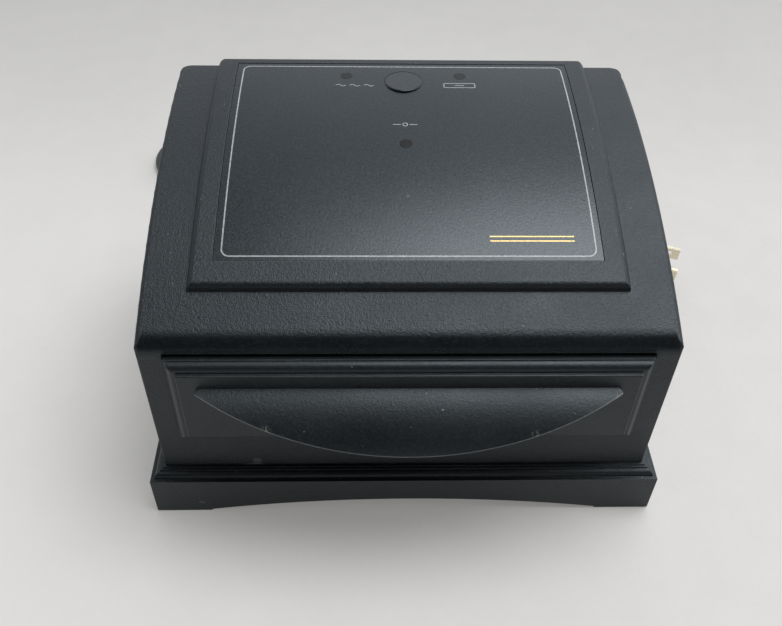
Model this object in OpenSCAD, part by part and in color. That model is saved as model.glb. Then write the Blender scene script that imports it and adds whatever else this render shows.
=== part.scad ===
// Hearing aid dryer: an arched black cabinet with a moulded drawer at the front.
// A fan draws warm air through the drawer, past a desiccant brick, under a small lamp.
// Z is up, the drawer faces -Y, and the origin is on the surface that the feet
// stand on, under the middle of the cabinet and its drawer pull.

/* [Housing] */
// Width of the housing across its side walls
housing_w = 165; // [160:1:175]
// Depth of the housing from its front face to its back
housing_d = 120; // [118:1:130]
// Height of the arched top at the back, above the surface it stands on
crown_h = 105.5; // [104:0.5:112]
// Height at which the arched top would meet the front face
brow_h = 79.8; // [79:0.1:82]
// Thickness of the moulded walls
wall = 2.8; // [2.4:0.1:3]
// Radius that rounds the top of the front face
brow_r = 3; // [1:0.25:4]
// Radius along the two side edges of the arched top
shoulder_r = 1.5; // [1:0.25:4]
// Radius of the upright corners at the front
corner_r = 0.5; // [0.5:0.25:2.5]
// Radius of the upright corners at the back
back_corner_r = 4.5; // [1:0.25:4.75]

/* [Raised tier] */
// Width of the raised tier on top
tier_w = 136; // [130:1:146]
// Distance of the tier's front edge behind the front face
tier_setback = 16.3; // [12:0.5:19]
// Height that the tier stands above the arch
tier_h = 2.7; // [2.2:0.1:4]
// Radius of the tier's top edges
tier_r = 2.1; // [0.5:0.1:2.1]
// Radius of the tier's corners at the back
tier_corner_r = 2.75; // [0.5:0.25:3]

/* [Label] */
// Width of the label sheet
label_w = 120.8; // [112:0.2:124]
// Distance of the label's front edge behind the front face
label_front = 24.4; // [22:0.2:30]
// Margin between the label's back edge and the back of the housing
label_margin = 3; // [2.5:0.25:5]
// Thickness of the label sheet
label_t = 0.5; // [0.3:0.1:0.8]
// Depth of the label's face below the tier's face
label_sink = 0.15; // [0.1:0.05:0.4]
// Gap round the label in its recess
label_gap = 0.2; // [0.1:0.05:0.4]

/* [Key and windows] */
// Radius of the start key
key_r = 6.8; // [5.5:0.1:8]
// Distance of the key's centre from the back of the housing
key_back = 15; // [13:0.5:18]
// Height of the key's flat face above the label at its back edge
key_proud = 0.05; // [0.05:0.05:0.1]
// Radius round the key's face
key_round = 0.5; // [0.2:0.1:0.6]
// Travel of the key
key_travel = 0.8; // [0.4:0.1:1]
// Gap round the key
key_gap = 0.14; // [0.12:0.02:0.3]
// Radius of the indicator windows
window_r = 2; // [1.5:0.1:2.5]
// Gap round a window
window_gap = 0.1; // [0.05:0.05:0.2]
// Distance of each side window from the middle
window_x = 20.6; // [16:0.2:26]
// Distance of the side windows' centres from the back
window_back = 11.3; // [9:0.1:13]
// Distance of the middle window's centre from the back
middle_window_back = 49.2; // [46:0.2:50]

/* [Drawer front] */
// Width of the drawer front
front_w = 149; // [144:1:151]
// Height of the drawer front
front_h = 36.5; // [35.5:0.5:37]
// Height of the drawer front's lower edge above the surface it stands on
front_z = 38.5; // [38:0.25:39]
// Thickness of the drawer front behind the face of the housing
front_inset = 2; // [1.5:0.25:3]
// Gap at the sides and below the drawer front
front_gap = 0.5; // [0.4:0.1:0.8]
// Gap above the drawer front
front_gap_top = 1.4; // [0.8:0.1:1.6]
// Distance that the panel's flat face stands in front of the housing
panel_out = 4.8; // [4.3:0.1:6]
// Distance that the outer ledge stands in front of the housing
ledge_out = 1.3; // [0.8:0.1:1.5]
// Width of the outer ledge
ledge_w = 0.6; // [0.4:0.1:1]
// Radius of the panel's rounded bead
bead_r = 2.3; // [1.6:0.1:2.6]
// Width of the flat quirk between bead and panel
quirk_w = 0.7; // [0.4:0.1:1]
// Radius of the panel's front edge
panel_r = 0.4; // [0.2:0.1:0.6]

/* [Pull] */
// Width of the half-moon pull from tip to tip
pull_w = 131.2; // [110:0.2:134]
// Distance that the pull's lip stands in front of the panel
pull_reach = 15.7; // [12:0.1:18]
// Height of the lip below the line where the pull leaves the panel
pull_drop = 13.9; // [11:0.1:16]
// Height of that line below the top of the drawer front
pull_below = 9.1; // [8:0.1:11]
// Distance of the pull's tips below that line
pull_tip_drop = 2.6; // [1.5:0.1:4]
// Thickness of the pull's lip
pull_t = 2.2; // [1.8:0.1:2.8]
// Slope of the pull where it leaves the panel, in degrees
pull_slope = 18; // [10:1:26]
// Radius that rounds each end of the pull
pull_end_r = 1.6; // [1:0.2:5]
// Width of the closed cheek at each end of the pull
pull_cheek = 10; // [7:0.5:14]
// Height of that cheek
pull_cheek_h = 5; // [3:0.5:7]

/* [Drawer tray] */
// Width of the tray
tray_w = 137; // [130:1:138]
// Depth of the tray behind the drawer front
tray_d = 102; // [96:1:104]
// Height of the tray
tray_h = 33.5; // [30:0.5:34]
// Thickness of the tray's walls and floor
tray_wall = 2; // [1.6:0.1:2.4]
// Height of the tray's underside above the drawer front's lower edge
tray_lift = 1; // [0.5:0.25:1.25]
// Travel of the drawer
drawer_travel = 85; // [60:1:88]
// Width of an air slot in the tray's floor
slot_w = 4; // [2:0.25:5]
// Distance between the air slots
slot_pitch = 12; // [9:0.5:14]

/* [Desiccant brick] */
// Width of the desiccant brick
brick_w = 100; // [80:1:120]
// Depth of the desiccant brick
brick_d = 34; // [28:1:38]
// Height of the desiccant brick's case
brick_h = 19; // [14:0.5:24]
// Gap round the brick in its bay
brick_gap = 0.4; // [0.3:0.1:0.8]

/* [Plinth] */
// Height of the plinth
plinth_h = 20.1; // [19.5:0.1:22]
// Distance that the plinth stands out at the front and sides
plinth_out = 5; // [4.6:0.1:6]
// Width of each foot at the ends of the arches
foot_w = 19.3; // [16:0.1:24]
// Height of the small step beside each foot
foot_step = 0.6; // [0.4:0.1:1]
// Rise of the shallow arch between the feet
arch_rise = 5.6; // [4:0.1:5.8]
// Thickness of the plinth's skirt and floor
plinth_wall = 3.2; // [2.6:0.1:4]
// Thickness of the base floor
floor_t = 2.5; // [2:0.1:3]
// Height that the rubber pads stand out below the feet
pad_proud = 0.4; // [0.3:0.1:0.8]
// Radius of the rubber pads
pad_r = 5; // [4:0.25:6]
// Radius of the plinth's rounded bead
plinth_bead_r = 1.7; // [1.3:0.1:1.8]

/* [Chassis] */
// Thickness of the deck that the drawer runs on
deck_t = 2.4; // [2:0.1:3]
// Thickness of the ceiling plate over the drawer
ceiling_t = 1.6; // [1.2:0.1:2]
// Thickness of the runner rails under the tray
rail_t = 1.3; // [1:0.1:1.4]
// Running clearance of the drawer on its rails
run_gap = 0.2; // [0.15:0.05:0.3]
// Clearance beside the drawer's tray
side_gap = 0.4; // [0.3:0.05:0.7]
// Radius of the screw bosses
boss_r = 3.6; // [3.2:0.1:3.8]
// Radius of the case screws' threads
screw_r = 1.45; // [1.2:0.05:1.6]
// Clearance between chassis pieces that stand apart
fit_gap = 0.2; // [0.1:0.05:0.3]

/* [Fan] */
// Width of the square fan frame
fan_w = 60; // [50:1:62]
// Height of the fan frame
fan_h = 15; // [12:0.5:16]
// Running gap between the blades and the fan's ring
fan_gap = 0.6; // [0.4:0.1:1]
// Radius of the fan's hub
hub_r = 12; // [10:0.5:13]
// Number of fan blades
fan_blades = 7; // [5:1:9]

/* [Lamp] */
// Radius of the lamp's tube as a share of the free height over the ceiling plate
lamp_share = 0.4; // [0.34:0.01:0.4]
// Length of the lamp's tube between its caps
lamp_l = 118; // [100:1:122]
// Distance of the lamp behind the front face
lamp_y = 52; // [47:0.5:54]

/* [Cord] */
// Diameter of the power cord
cord_d = 5; // [4.6:0.1:5.2]
// Height of the cord's exit above the surface the dryer stands on
exit_z = 14.7; // [14.6:0.1:15]
// Length of the tapered strain relief outside the back
boot_l = 26; // [22:1:26]

/* [Hidden] */
$fn = 64;
fine = 360;
eps = 0.01;

black = [0.06, 0.065, 0.07];

// The housing's front face stands at y = 0 in every module; the part is then moved
// back, so that the middle of its depth, pull included, lies over the origin.
front_reach = panel_out + pull_reach;
part_shift = -(housing_d - front_reach) / 2;
module place() translate([0, part_shift, 0]) children();

// The arched top is a cylinder across the housing that is level at the back.
arc_rise = crown_h - brow_h;
arc_r = (housing_d * housing_d + arc_rise * arc_rise) / (2 * arc_rise);
arc_z = crown_h - arc_r;
function arch_z(y, off = 0) = arc_z + sqrt(pow(arc_r + off, 2) - pow(housing_d - y, 2));

plinth_top = pad_proud + plinth_h;
inner_w = housing_w - 2 * wall;
inner_back = housing_d - wall;
open_w = front_w + 2 * front_gap;
open_z = front_z - front_gap;
open_top = front_z + front_h + front_gap_top;
floor_under = pad_proud + foot_step + arch_rise + 0.4;
floor_top = floor_under + floor_t;
plinth_inner_w = housing_w + 2 * plinth_out - 2 * plinth_wall;

tray_z = front_z + tray_lift;
tray_back = front_inset + tray_d;
tray_top = tray_z + tray_h;
rail_z = tray_z - run_gap - rail_t;
deck_z = rail_z - deck_t;
rail_guide = 1.8;
rail_lap = 10.5;
stop_y = drawer_travel + wall + 0.4;
stop_top = open_top + 1;
ceiling_z = stop_top + 0.6;
ceiling_top = ceiling_z + ceiling_t;
ledge_depth = 3.4;

label_back = housing_d - label_margin;
label_face = tier_h - label_sink;
key_y = housing_d - key_back;
window_y = housing_d - window_back;
middle_window_y = housing_d - middle_window_back;

board_front = 62;
board_w = 112;
board_t = 1.6;
board_back = inner_back - 2.5;
board_top = arch_z(board_front, -wall) - 3.6;
key_flange_r = key_r + 1.3;
key_flange_z = arch_z(key_y - key_flange_r, -wall) - 0.25;
key_flange_t = 1.2;
switch_h = 4;
through = crown_h - board_top + tier_h;
case_screw_l = 13;
led_h = 4.6;
led_r = 1.5;

plinth_lip = 1;
boss_x = inner_w / 2 - plinth_lip - 2 * fit_gap - boss_r;
boss_ys = [24, housing_d - 20];
boss_web = 2;
post_x = 52;
post_ys = [12, housing_d - 12];
post_r = 3.5;

fan_y = 60;
fan_z = deck_z - fan_h;
fan_bore = fan_w / 2 - 1.6;
shaft_r = 1.5;
sheet_t = 0.5;
lamp_room = arch_z(lamp_y, -wall) - ceiling_top;
lamp_r = lamp_share * lamp_room;
reflect_r = lamp_r + 0.9;
lamp_z = arch_z(lamp_y, -wall) - reflect_r - sheet_t - 0.5;
holder_x = lamp_l / 2 + 5;
holder_w = 6;
exit_x = -40;
boot_r = 4.4;
magnet_x = tray_w / 2 - 18.5;
magnet_z = 56;
magnet_r = 4;
magnet_t = 3;

// Extrudes a drawing of y and z across the housing, centred on x = 0.
module across(w) translate([-w / 2, 0, 0]) rotate([90, 0, 90]) linear_extrude(w) children();

// Extrudes a drawing of x and z from y0 back to y1.
module along(y0, y1) translate([0, y1, 0]) rotate([90, 0, 0]) linear_extrude(y1 - y0) children();

module arch_cylinder(off, w) translate([0, housing_d, arc_z]) rotate([0, 90, 0])
    cylinder(r = arc_r + off, h = w, center = true, $fn = fine);

module box_between(x, y0, y1, z0, z1) translate([-x / 2, y0, z0]) cube([x, y1 - y0, z1 - z0]);

// Side view of an arched block: upright front at y0, rounded by r, down to z0.
module arched_side(y0, off, r, z0) {
    big = arc_r + off;
    c = [y0 + r, arc_z + sqrt(pow(big - r, 2) - pow(housing_d - y0 - r, 2))];
    touch = [housing_d, arc_z] + (c - [housing_d, arc_z]) * big / (big - r);
    difference() {
        intersection() {
            translate([housing_d, arc_z]) circle(big, $fn = fine);
            translate([y0, z0]) square([housing_d - y0, crown_h + off - z0 + 1]);
        }
        polygon([[y0 - 1, c.y], c, touch, touch + (touch - c), [y0 - 1, touch.y + r]]);
    }
    translate(c) circle(r);
}

// Cross-section of the arched block along a radius of the arch, rounded at its
// two outer corners, swept about the arch's own axis.
module arched_sweep(w, off, r) translate([0, housing_d, arc_z]) rotate([0, 90, 0])
    rotate_extrude(angle = asin(housing_d / arc_r) + 10, start = 179, $fn = fine) {
        inner = plinth_top - arc_z - 5;
        depth = arc_r + off - inner;
        translate([inner, -w / 2]) square([depth - r, w]);
        translate([inner, -w / 2 + r]) square([depth, w - 2 * r]);
        for (s = [-1, 1]) translate([arc_r + off - r, s * (w / 2 - r)]) circle(r);
    }

module arched_block(w, y0, off, r_front, r_side, z0) intersection() {
    arched_sweep(w, off, r_side);
    across(w) arched_side(y0, off, r_front, z0);
}

// Upright block from y = 0 back to d, with its front corners rounded by r and the back ones by b
module rounded_plan(w, d, r, b, z0, z1) translate([0, 0, z0]) linear_extrude(z1 - z0) {
    translate([-w / 2, r]) square([w, d - r - b]);
    translate([-w / 2 + r, 0]) square([w - 2 * r, r + eps]);
    translate([-w / 2 + b, d - b - eps]) square([w - 2 * b, b + eps]);
    for (x = [-1, 1]) {
        translate([x * (w / 2 - r), r]) circle(r);
        translate([x * (w / 2 - b), d - b]) circle(b);
    }
}

module mirrored_x() {
    children();
    mirror([1, 0, 0]) children();
}

module at_windows() {
    for (s = [-1, 1]) translate([s * window_x, window_y, 0]) children();
    translate([0, middle_window_y, 0]) children();
}

module at_bosses() for (s = [-1, 1], y = boss_ys) translate([s * boss_x, y, 0]) children();
module at_posts() for (s = [-1, 1], y = post_ys) translate([s * post_x, y, 0]) children();

board_boss_r = 3;
board_screw_x = board_w / 2 - 5;
board_screw_ys = [board_front + 5, board_back - 5];
module at_board_screws() for (s = [-1, 1], y = board_screw_ys)
    translate([s * board_screw_x, y, 0]) children();

// One moulding with the raised tier, side, back and front walls, and inner bosses
module housing_shell() color(black) place() difference() {
    union() {
        difference() {
            union() {
                intersection() {
                    arched_block(housing_w, 0, 0, brow_r, shoulder_r, plinth_top);
                    rounded_plan(housing_w, housing_d, corner_r, back_corner_r, plinth_top, crown_h + 1);
                }
                intersection() {
                    arched_block(tier_w, tier_setback, tier_h, tier_r, tier_r,
                        arch_z(tier_setback) - wall / 2);
                    rounded_plan(tier_w, housing_d, eps, tier_corner_r, plinth_top, crown_h + tier_h + 1);
                }
            }
            intersection() {
                box_between(inner_w, wall, inner_back, plinth_top - 1, crown_h);
                arch_cylinder(-wall, housing_w);
            }
            box_between(open_w, -1, wall + 1, open_z, open_top);
        }
        at_bosses() translate([0, 0, floor_top + fit_gap])
            cylinder(r = boss_r, h = rail_z - floor_top - fit_gap);
        mirrored_x() for (y = boss_ys)
            translate([boss_x, y - boss_web / 2, plinth_top + fit_gap])
                cube([inner_w / 2 - boss_x + eps, boss_web, rail_z - plinth_top - fit_gap]);
        intersection() {
            at_board_screws() translate([0, 0, board_top])
                cylinder(r = board_boss_r, h = crown_h - board_top);
            arch_cylinder(-wall / 2, housing_w);
        }
        mirrored_x() translate([inner_w / 2 - ledge_depth, wall, ceiling_z - 2.5])
            cube([ledge_depth + eps, inner_back - wall, 2.5]);
    }
    intersection() {
        box_between(label_w + 2 * label_gap, label_front - label_gap, label_back + label_gap,
            brow_h, crown_h + 9);
        difference() {
            arch_cylinder(tier_h + 3, housing_w);
            arch_cylinder(label_face - label_t, housing_w + 1);
        }
    }
    translate([0, key_y, key_flange_z - 1]) cylinder(r = key_r + key_gap, h = through);
    at_windows() translate([0, 0, board_top + 1]) cylinder(r = window_r + window_gap, h = through);
    at_bosses() translate([0, 0, floor_top]) cylinder(r = screw_r + 0.05, h = case_screw_l + 1);
    at_board_screws() translate([0, 0, board_top - 1]) cylinder(r = 1.05, h = 5.5);
    plate_screw_places() translate([0, 0, ceiling_z - 3]) cylinder(r = 0.95, h = 4);
    back_vents();
}

vent_count = 9;
vent_w = 2.4;
vent_h = 16;
vent_pitch = 6;
module back_vents() for (i = [0 : vent_count - 1])
    translate([(i - (vent_count - 1) / 2) * vent_pitch - vent_w / 2, inner_back - 1, open_z + 2])
        cube([vent_w, wall + 2, vent_h]);

// Drawing of the plinth's moulded edge: x is out from the housing's face, y is height.
module plinth_edge(depth) {
    bead_out = plinth_out - 1.4;
    ledges = [[0.9, 0], [1.7, 0.5], [bead_out - plinth_bead_r, 1.1],
        [bead_out, 1.1 + plinth_bead_r], [plinth_out, 1.4 + plinth_bead_r]];
    for (l = ledges)
        translate([-depth, pad_proud]) square([depth + l.x, plinth_h - l.y]);
    translate([bead_out - plinth_bead_r, plinth_top - 1.1 - plinth_bead_r])
        circle(plinth_bead_r);
}

// Opening of a shallow arch between two feet, drawn across a span
module arch_opening(span, z0) {
    r = (span * span / 4 + arch_rise * arch_rise) / (2 * arch_rise);
    translate([-span / 2, z0 - 1]) square([span, 1 + foot_step]);
    intersection() {
        translate([0, z0 + foot_step + arch_rise - r]) circle(r, $fn = fine);
        translate([-span / 2, z0]) square([span, foot_step + arch_rise + 1]);
    }
}

front_span = housing_w + 2 * plinth_out - 2 * foot_w;
side_span = housing_d + plinth_out - 2 * foot_w;
block_w = foot_w - 1.5;
pad_x = housing_w / 2 + plinth_out - block_w / 2 - 0.5;
pad_ys = [block_w / 2 - plinth_out + 0.5, housing_d - block_w / 2 - 0.5];
module at_pads() for (s = [-1, 1], y = pad_ys) translate([s * pad_x, y, 0]) children();

// Moulded base: skirt with arches and bracket feet, floor, posts for the deck
module base_plinth() color(black) place() difference() {
    union() {
        difference() {
            intersection() {
                across(housing_w + 2 * plinth_out) mirror([1, 0]) plinth_edge(housing_d);
                along(-plinth_out, housing_d) union() {
                    translate([housing_w / 2, 0]) plinth_edge(housing_w / 2);
                    mirror([1, 0]) translate([housing_w / 2, 0]) plinth_edge(housing_w / 2);
                }
            }
            box_between(plinth_inner_w, plinth_wall - plinth_out, housing_d - plinth_wall,
                pad_proud - 1, floor_under);
            box_between(inner_w - 2 * plinth_lip, wall + plinth_lip, inner_back - plinth_lip,
                floor_top, plinth_top + 1);
        }
        mirrored_x() for (y = [-plinth_out, housing_d - block_w])
            translate([housing_w / 2 + plinth_out - block_w, y, pad_proud])
                cube([block_w, block_w, floor_under - pad_proud + eps]);
        at_posts() translate([0, 0, floor_top - eps])
            cylinder(r = post_r, h = deck_z - floor_top + eps);
    }
    along(-plinth_out - 1, plinth_wall - plinth_out + 1) arch_opening(front_span, pad_proud);
    translate([-housing_w, (housing_d - plinth_out) / 2, 0]) rotate([90, 0, 90])
        linear_extrude(2 * housing_w) arch_opening(side_span, pad_proud);
    at_pads() translate([0, 0, pad_proud - 1]) cylinder(r = pad_r + 0.1, h = 1.8);
    at_bosses() {
        translate([0, 0, floor_under - 1]) cylinder(r = screw_r + 0.2, h = 10);
        translate([0, 0, floor_under - 1]) cylinder(r = 3.1, h = 1.9);
    }
    at_posts() translate([0, 0, deck_z - 11]) cylinder(r = 1.05, h = 12);
    intake_slots();
    translate([exit_x, inner_back - 4, exit_z]) rotate([-90, 0, 0])
        cylinder(r = boot_r - 0.6, h = wall + 6);
}

intake_count = 9;
module intake_slots() for (i = [0 : intake_count - 1])
    translate([-fan_w / 2 + 6, fan_y + (i - (intake_count - 1) / 2) * 5 - 1.2, floor_under - 1])
        cube([fan_w - 12, 2.4, floor_t + 2]);

module foot_pads() color([0.12, 0.12, 0.12]) place() at_pads() cylinder(r = pad_r, h = 1.2);

module base_screws() color("silver") place() at_bosses() {
    translate([0, 0, floor_under - 0.4]) cylinder(r = 2.8, h = 1.3);
    translate([0, 0, floor_under]) cylinder(r = screw_r, h = case_screw_l);
}

// Thin printed sheet that follows the arch inside its recess
module label_overlay() color([0.08, 0.085, 0.09]) place() difference() {
    intersection() {
        box_between(label_w, label_front, label_back, brow_h, crown_h + 9);
        difference() {
            arch_cylinder(label_face, housing_w);
            arch_cylinder(label_face - label_t, housing_w + 1);
        }
    }
    translate([0, key_y, board_top]) cylinder(r = key_r + key_gap, h = through);
    at_windows() translate([0, 0, board_top]) cylinder(r = window_r + window_gap, h = through);
}

// Round key with a level face, so only its front edge stands out of the sloping label;
// its flange stops it under the housing's top
module start_key() color([0.07, 0.075, 0.08]) place() {
    key_h = arch_z(key_y + key_r, label_face) + key_proud - key_flange_z;
    translate([0, key_y, key_flange_z]) rotate_extrude() {
        square([key_r - key_round, key_h]);
        square([key_r, key_h - key_round]);
        translate([key_r - key_round, key_h - key_round]) circle(key_round);
    }
    translate([0, key_y, key_flange_z - key_flange_t])
        cylinder(r = key_flange_r, h = key_flange_t + eps);
}

module window(x, y) color([0.03, 0.02, 0.02]) place() difference() {
    intersection() {
        translate([x, y, board_top + led_h - 2]) cylinder(r = window_r, h = 15);
        arch_cylinder(label_face, housing_w);
    }
    translate([x, y, board_top + led_h - 3])
        cylinder(r = led_r + 0.1, h = 3 + fit_gap);
}

module left_window() window(-window_x, window_y);
module right_window() window(window_x, window_y);
module middle_window() window(0, middle_window_y);

module indicator_leds() color([0.8, 0.9, 0.8]) place() at_windows()
    translate([0, 0, board_top]) {
        cylinder(r = led_r, h = led_h - led_r);
        translate([0, 0, led_h - led_r]) sphere(led_r);
    }

module control_board() color([0.1, 0.35, 0.18]) place() difference() {
    box_between(board_w, board_front, board_back, board_top - board_t, board_top);
    at_board_screws() translate([0, 0, board_top - 3]) cylinder(r = 1.3, h = 5);
}

module board_screws() color("silver") place() at_board_screws() {
    translate([0, 0, board_top - board_t - 1.3]) cylinder(r = 2.4, h = 1.3);
    translate([0, 0, board_top - board_t - eps]) cylinder(r = 1, h = board_t + 4);
}

module key_switch() color([0.15, 0.15, 0.16]) place() difference() {
    translate([-3, key_y - 3, board_top]) cube([6, 6, switch_h]);
    translate([0, key_y, board_top + 1.2]) cylinder(r = 1.8, h = switch_h);
}

module switch_stem() color([0.75, 0.7, 0.6]) place() translate([0, key_y, board_top + 1.3 + key_travel])
    cylinder(r = 1.7, h = key_flange_z - key_flange_t - board_top - 1.3 - key_travel);

// Drawing of a raised panel seen end on: stepped and beaded at both ends of its width
module panel_edge(w) {
    bead_top = ledge_out + bead_r;
    bead_w = ledge_w + bead_r;
    face_in = bead_w + quirk_w;
    translate([0, -front_inset]) square([w, front_inset + ledge_out]);
    translate([bead_w, 0]) square([w - 2 * bead_w, bead_top]);
    for (x = [bead_w, w - bead_w]) translate([x, ledge_out]) circle(bead_r);
    translate([face_in, 0]) square([w - 2 * face_in, panel_out - panel_r]);
    translate([face_in + panel_r, 0]) square([w - 2 * (face_in + panel_r), panel_out]);
    for (x = [face_in + panel_r, w - face_in - panel_r])
        translate([x, panel_out - panel_r]) circle(panel_r);
}

// The pull is a curved lip; its top is an arc from the panel to the lip's edge, drawn
// with x out from the panel and y up.
pull_z = front_z + front_h - pull_below;
pull_chord = sqrt(pull_reach * pull_reach + pull_drop * pull_drop);
pull_tilt = atan2(pull_drop, pull_reach);
pull_arc_r = pull_chord / (2 * sin(pull_tilt - pull_slope));
pull_arc_c = [-pull_arc_r * sin(pull_slope), -pull_arc_r * cos(pull_slope)];
tip_in = pull_tip_drop * sin(pull_tilt);
moon_sag = pull_chord - tip_in;
moon_r = (pull_w * pull_w / 4 + moon_sag * moon_sag) / (2 * moon_sag);

module pull_section(t) intersection() {
    difference() {
        translate(pull_arc_c) circle(pull_arc_r, $fn = 180);
        if (t > 0) translate(pull_arc_c) circle(pull_arc_r - t, $fn = 180);
    }
    translate([-panel_out / 2, -pull_drop - 6]) square([pull_reach + panel_out, pull_drop + 10]);
}

module across_pull(w) translate([0, -panel_out, pull_z]) mirror([0, 1, 0]) across(w) children();

module pull() intersection() {
    union() {
        across_pull(pull_w) pull_section(pull_t);
        mirrored_x() intersection() {
            across_pull(pull_w) pull_section(0);
            translate([pull_w / 2 - pull_cheek, -panel_out - pull_reach, pull_z - pull_cheek_h])
                cube([pull_cheek, pull_reach + 2, 2 * pull_cheek_h]);
        }
    }
    translate([0, -panel_out, pull_z]) rotate([pull_tilt, 0, 0])
        translate([0, moon_r - pull_chord, -40]) cylinder(r = moon_r, h = 80, $fn = fine);
    along(-panel_out - pull_reach - 1, 0) {
        translate([-pull_w / 2, pull_z - 40]) square([pull_w, 40 - pull_end_r]);
        translate([-pull_w / 2 + pull_end_r, pull_z - 20]) square([pull_w - 2 * pull_end_r, 21]);
        for (s = [-1, 1]) translate([s * (pull_w / 2 - pull_end_r), pull_z - pull_end_r])
            circle(pull_end_r);
    }
}

// Raised panel with mitred mouldings on all four sides, and the half-moon pull
module drawer_front() color(black) place() difference() {
    union() {
        intersection() {
            translate([0, 0, front_z]) across(front_w) rotate(90) panel_edge(front_h);
            translate([-front_w / 2, 0, front_z - 1]) linear_extrude(front_h + 2)
                mirror([0, 1]) panel_edge(front_w);
        }
        pull();
    }
    at_tray_screws() translate([0, -tray_screw_deep - 0.3, 0]) rotate([-90, 0, 0])
        cylinder(r = 1.25, h = tray_screw_deep + front_inset + eps);
}

tray_screw_deep = 4.5;
tray_screw_pitch = tray_w / 3.6;
tray_screw_z = tray_z + tray_h / 2 + 4;
module at_tray_screws() for (i = [-1.5 : 1.5])
    translate([i * tray_screw_pitch, front_inset, tray_screw_z]) children();

divider_y = tray_back - tray_wall - 2 * brick_gap - brick_d - tray_wall;
slot_span = divider_y - front_inset - tray_wall - 8;
slot_n = floor((tray_w - 24) / slot_pitch);

// Open tray with a slotted floor, a bay for the brick and stop tabs on its sides
module drawer_tray() color([0.82, 0.82, 0.8]) place() difference() {
    union() {
        difference() {
            box_between(tray_w, front_inset, tray_back, tray_z, tray_top);
            box_between(tray_w - 2 * tray_wall, front_inset + tray_wall, tray_back - tray_wall,
                tray_z + tray_wall, tray_top + 1);
        }
        box_between(tray_w - tray_wall, divider_y, divider_y + tray_wall, tray_z, tray_z + brick_h);
        mirrored_x() translate([brick_w / 2 + brick_gap, divider_y, tray_z])
            cube([tray_wall, tray_back - tray_wall - divider_y, brick_h]);
        mirrored_x() translate([tray_w / 2 - tray_wall, stop_y, tray_z])
            cube([tray_wall, 4, stop_top - tray_z]);
    }
    for (i = [0 : slot_n - 1])
        translate([(i - (slot_n - 1) / 2) * slot_pitch - slot_w / 2,
            front_inset + tray_wall + 4, tray_z - 1]) cube([slot_w, slot_span, tray_wall + 2]);
    for (s = [-1, 1]) translate([s * brick_w / 4 - brick_w / 6, divider_y + tray_wall + 5, tray_z - 1])
        cube([brick_w / 3, brick_d - 10, tray_wall + 2]);
    at_tray_screws() translate([0, -1, 0]) rotate([-90, 0, 0]) cylinder(r = 1.4, h = tray_wall + 2);
}

module tray_screws() color("silver") place() at_tray_screws() rotate([-90, 0, 0]) {
    translate([0, 0, tray_wall]) cylinder(r = 2.4, h = 1.4);
    translate([0, 0, -tray_screw_deep]) cylinder(r = 1.2, h = tray_wall + tray_screw_deep + 0.1);
}

brick_y = divider_y + tray_wall + brick_gap;
lid_t = 1;
module desiccant_case() color([0.9, 0.9, 0.88]) place() difference() {
    box_between(brick_w, brick_y, brick_y + brick_d, tray_z + tray_wall, tray_z + tray_wall + brick_h);
    box_between(brick_w - 3, brick_y + 1.5, brick_y + brick_d - 1.5, tray_z + tray_wall + 1.5,
        tray_z + tray_wall + brick_h + 1);
}

module desiccant_fill() color([0.85, 0.55, 0.2]) place()
    box_between(brick_w - 3 - 2 * fit_gap, brick_y + 1.5 + fit_gap, brick_y + brick_d - 1.5 - fit_gap,
        tray_z + tray_wall + 1.5, tray_z + tray_wall + brick_h - fit_gap);

module desiccant_lid() color([0.2, 0.4, 0.7]) place() difference() {
    box_between(brick_w, brick_y, brick_y + brick_d, tray_z + tray_wall + brick_h,
        tray_z + tray_wall + brick_h + lid_t);
    for (i = [-4 : 4], j = [-1 : 1])
        translate([i * brick_w / 10.5, brick_y + brick_d / 2 + j * brick_d / 4, tray_z])
            cylinder(r = 2.2, h = 60);
}

module drawer_magnet() color([0.7, 0.7, 0.72]) place()
    translate([magnet_x, tray_back, magnet_z]) rotate([-90, 0, 0])
        cylinder(r = magnet_r, h = magnet_t);

reed_gap = 2.5;
reed_w = 16;
module reed_switch() color([0.75, 0.3, 0.1]) place()
    translate([magnet_x - reed_w / 2, tray_back + magnet_t + reed_gap, magnet_z - 3])
        cube([reed_w, inner_back - tray_back - magnet_t - reed_gap, 6]);

// Deck between the drawer and the works below, with a grille over the fan
module drawer_deck() color([0.3, 0.3, 0.32]) place() difference() {
    box_between(inner_w - 2 * fit_gap, wall + fit_gap, inner_back - fit_gap, deck_z, rail_z);
    mirrored_x() for (y = boss_ys) translate([boss_x, y, deck_z - 1]) {
        cylinder(r = boss_r + fit_gap, h = deck_t + 2);
        translate([0, -boss_r - fit_gap, 0]) cube([2 * boss_r, 2 * (boss_r + fit_gap), deck_t + 2]);
    }
    for (i = [-4 : 4]) {
        half = sqrt(pow(fan_bore - 3, 2) - pow(i * 5.5, 2));
        translate([-half, fan_y + i * 5.5 - 1.6, deck_z - 1]) cube([2 * half, 3.2, deck_t + 2]);
    }
    at_posts() {
        translate([0, 0, deck_z - 1]) cylinder(r = 1.3, h = deck_t + 2);
        translate([0, 0, rail_z - 1.1]) cylinder(r = 2.5, h = 2);
    }
    at_fan_screws() translate([0, 0, deck_z - 1]) cylinder(r = 1.3, h = deck_t + 2);
}

module deck_screws() color("silver") place() at_posts() {
    translate([0, 0, rail_z - 1.1]) cylinder(r = 2.3, h = 1.1);
    translate([0, 0, deck_z - 8]) cylinder(r = 1, h = 8 + deck_t - 0.6);
}

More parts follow.
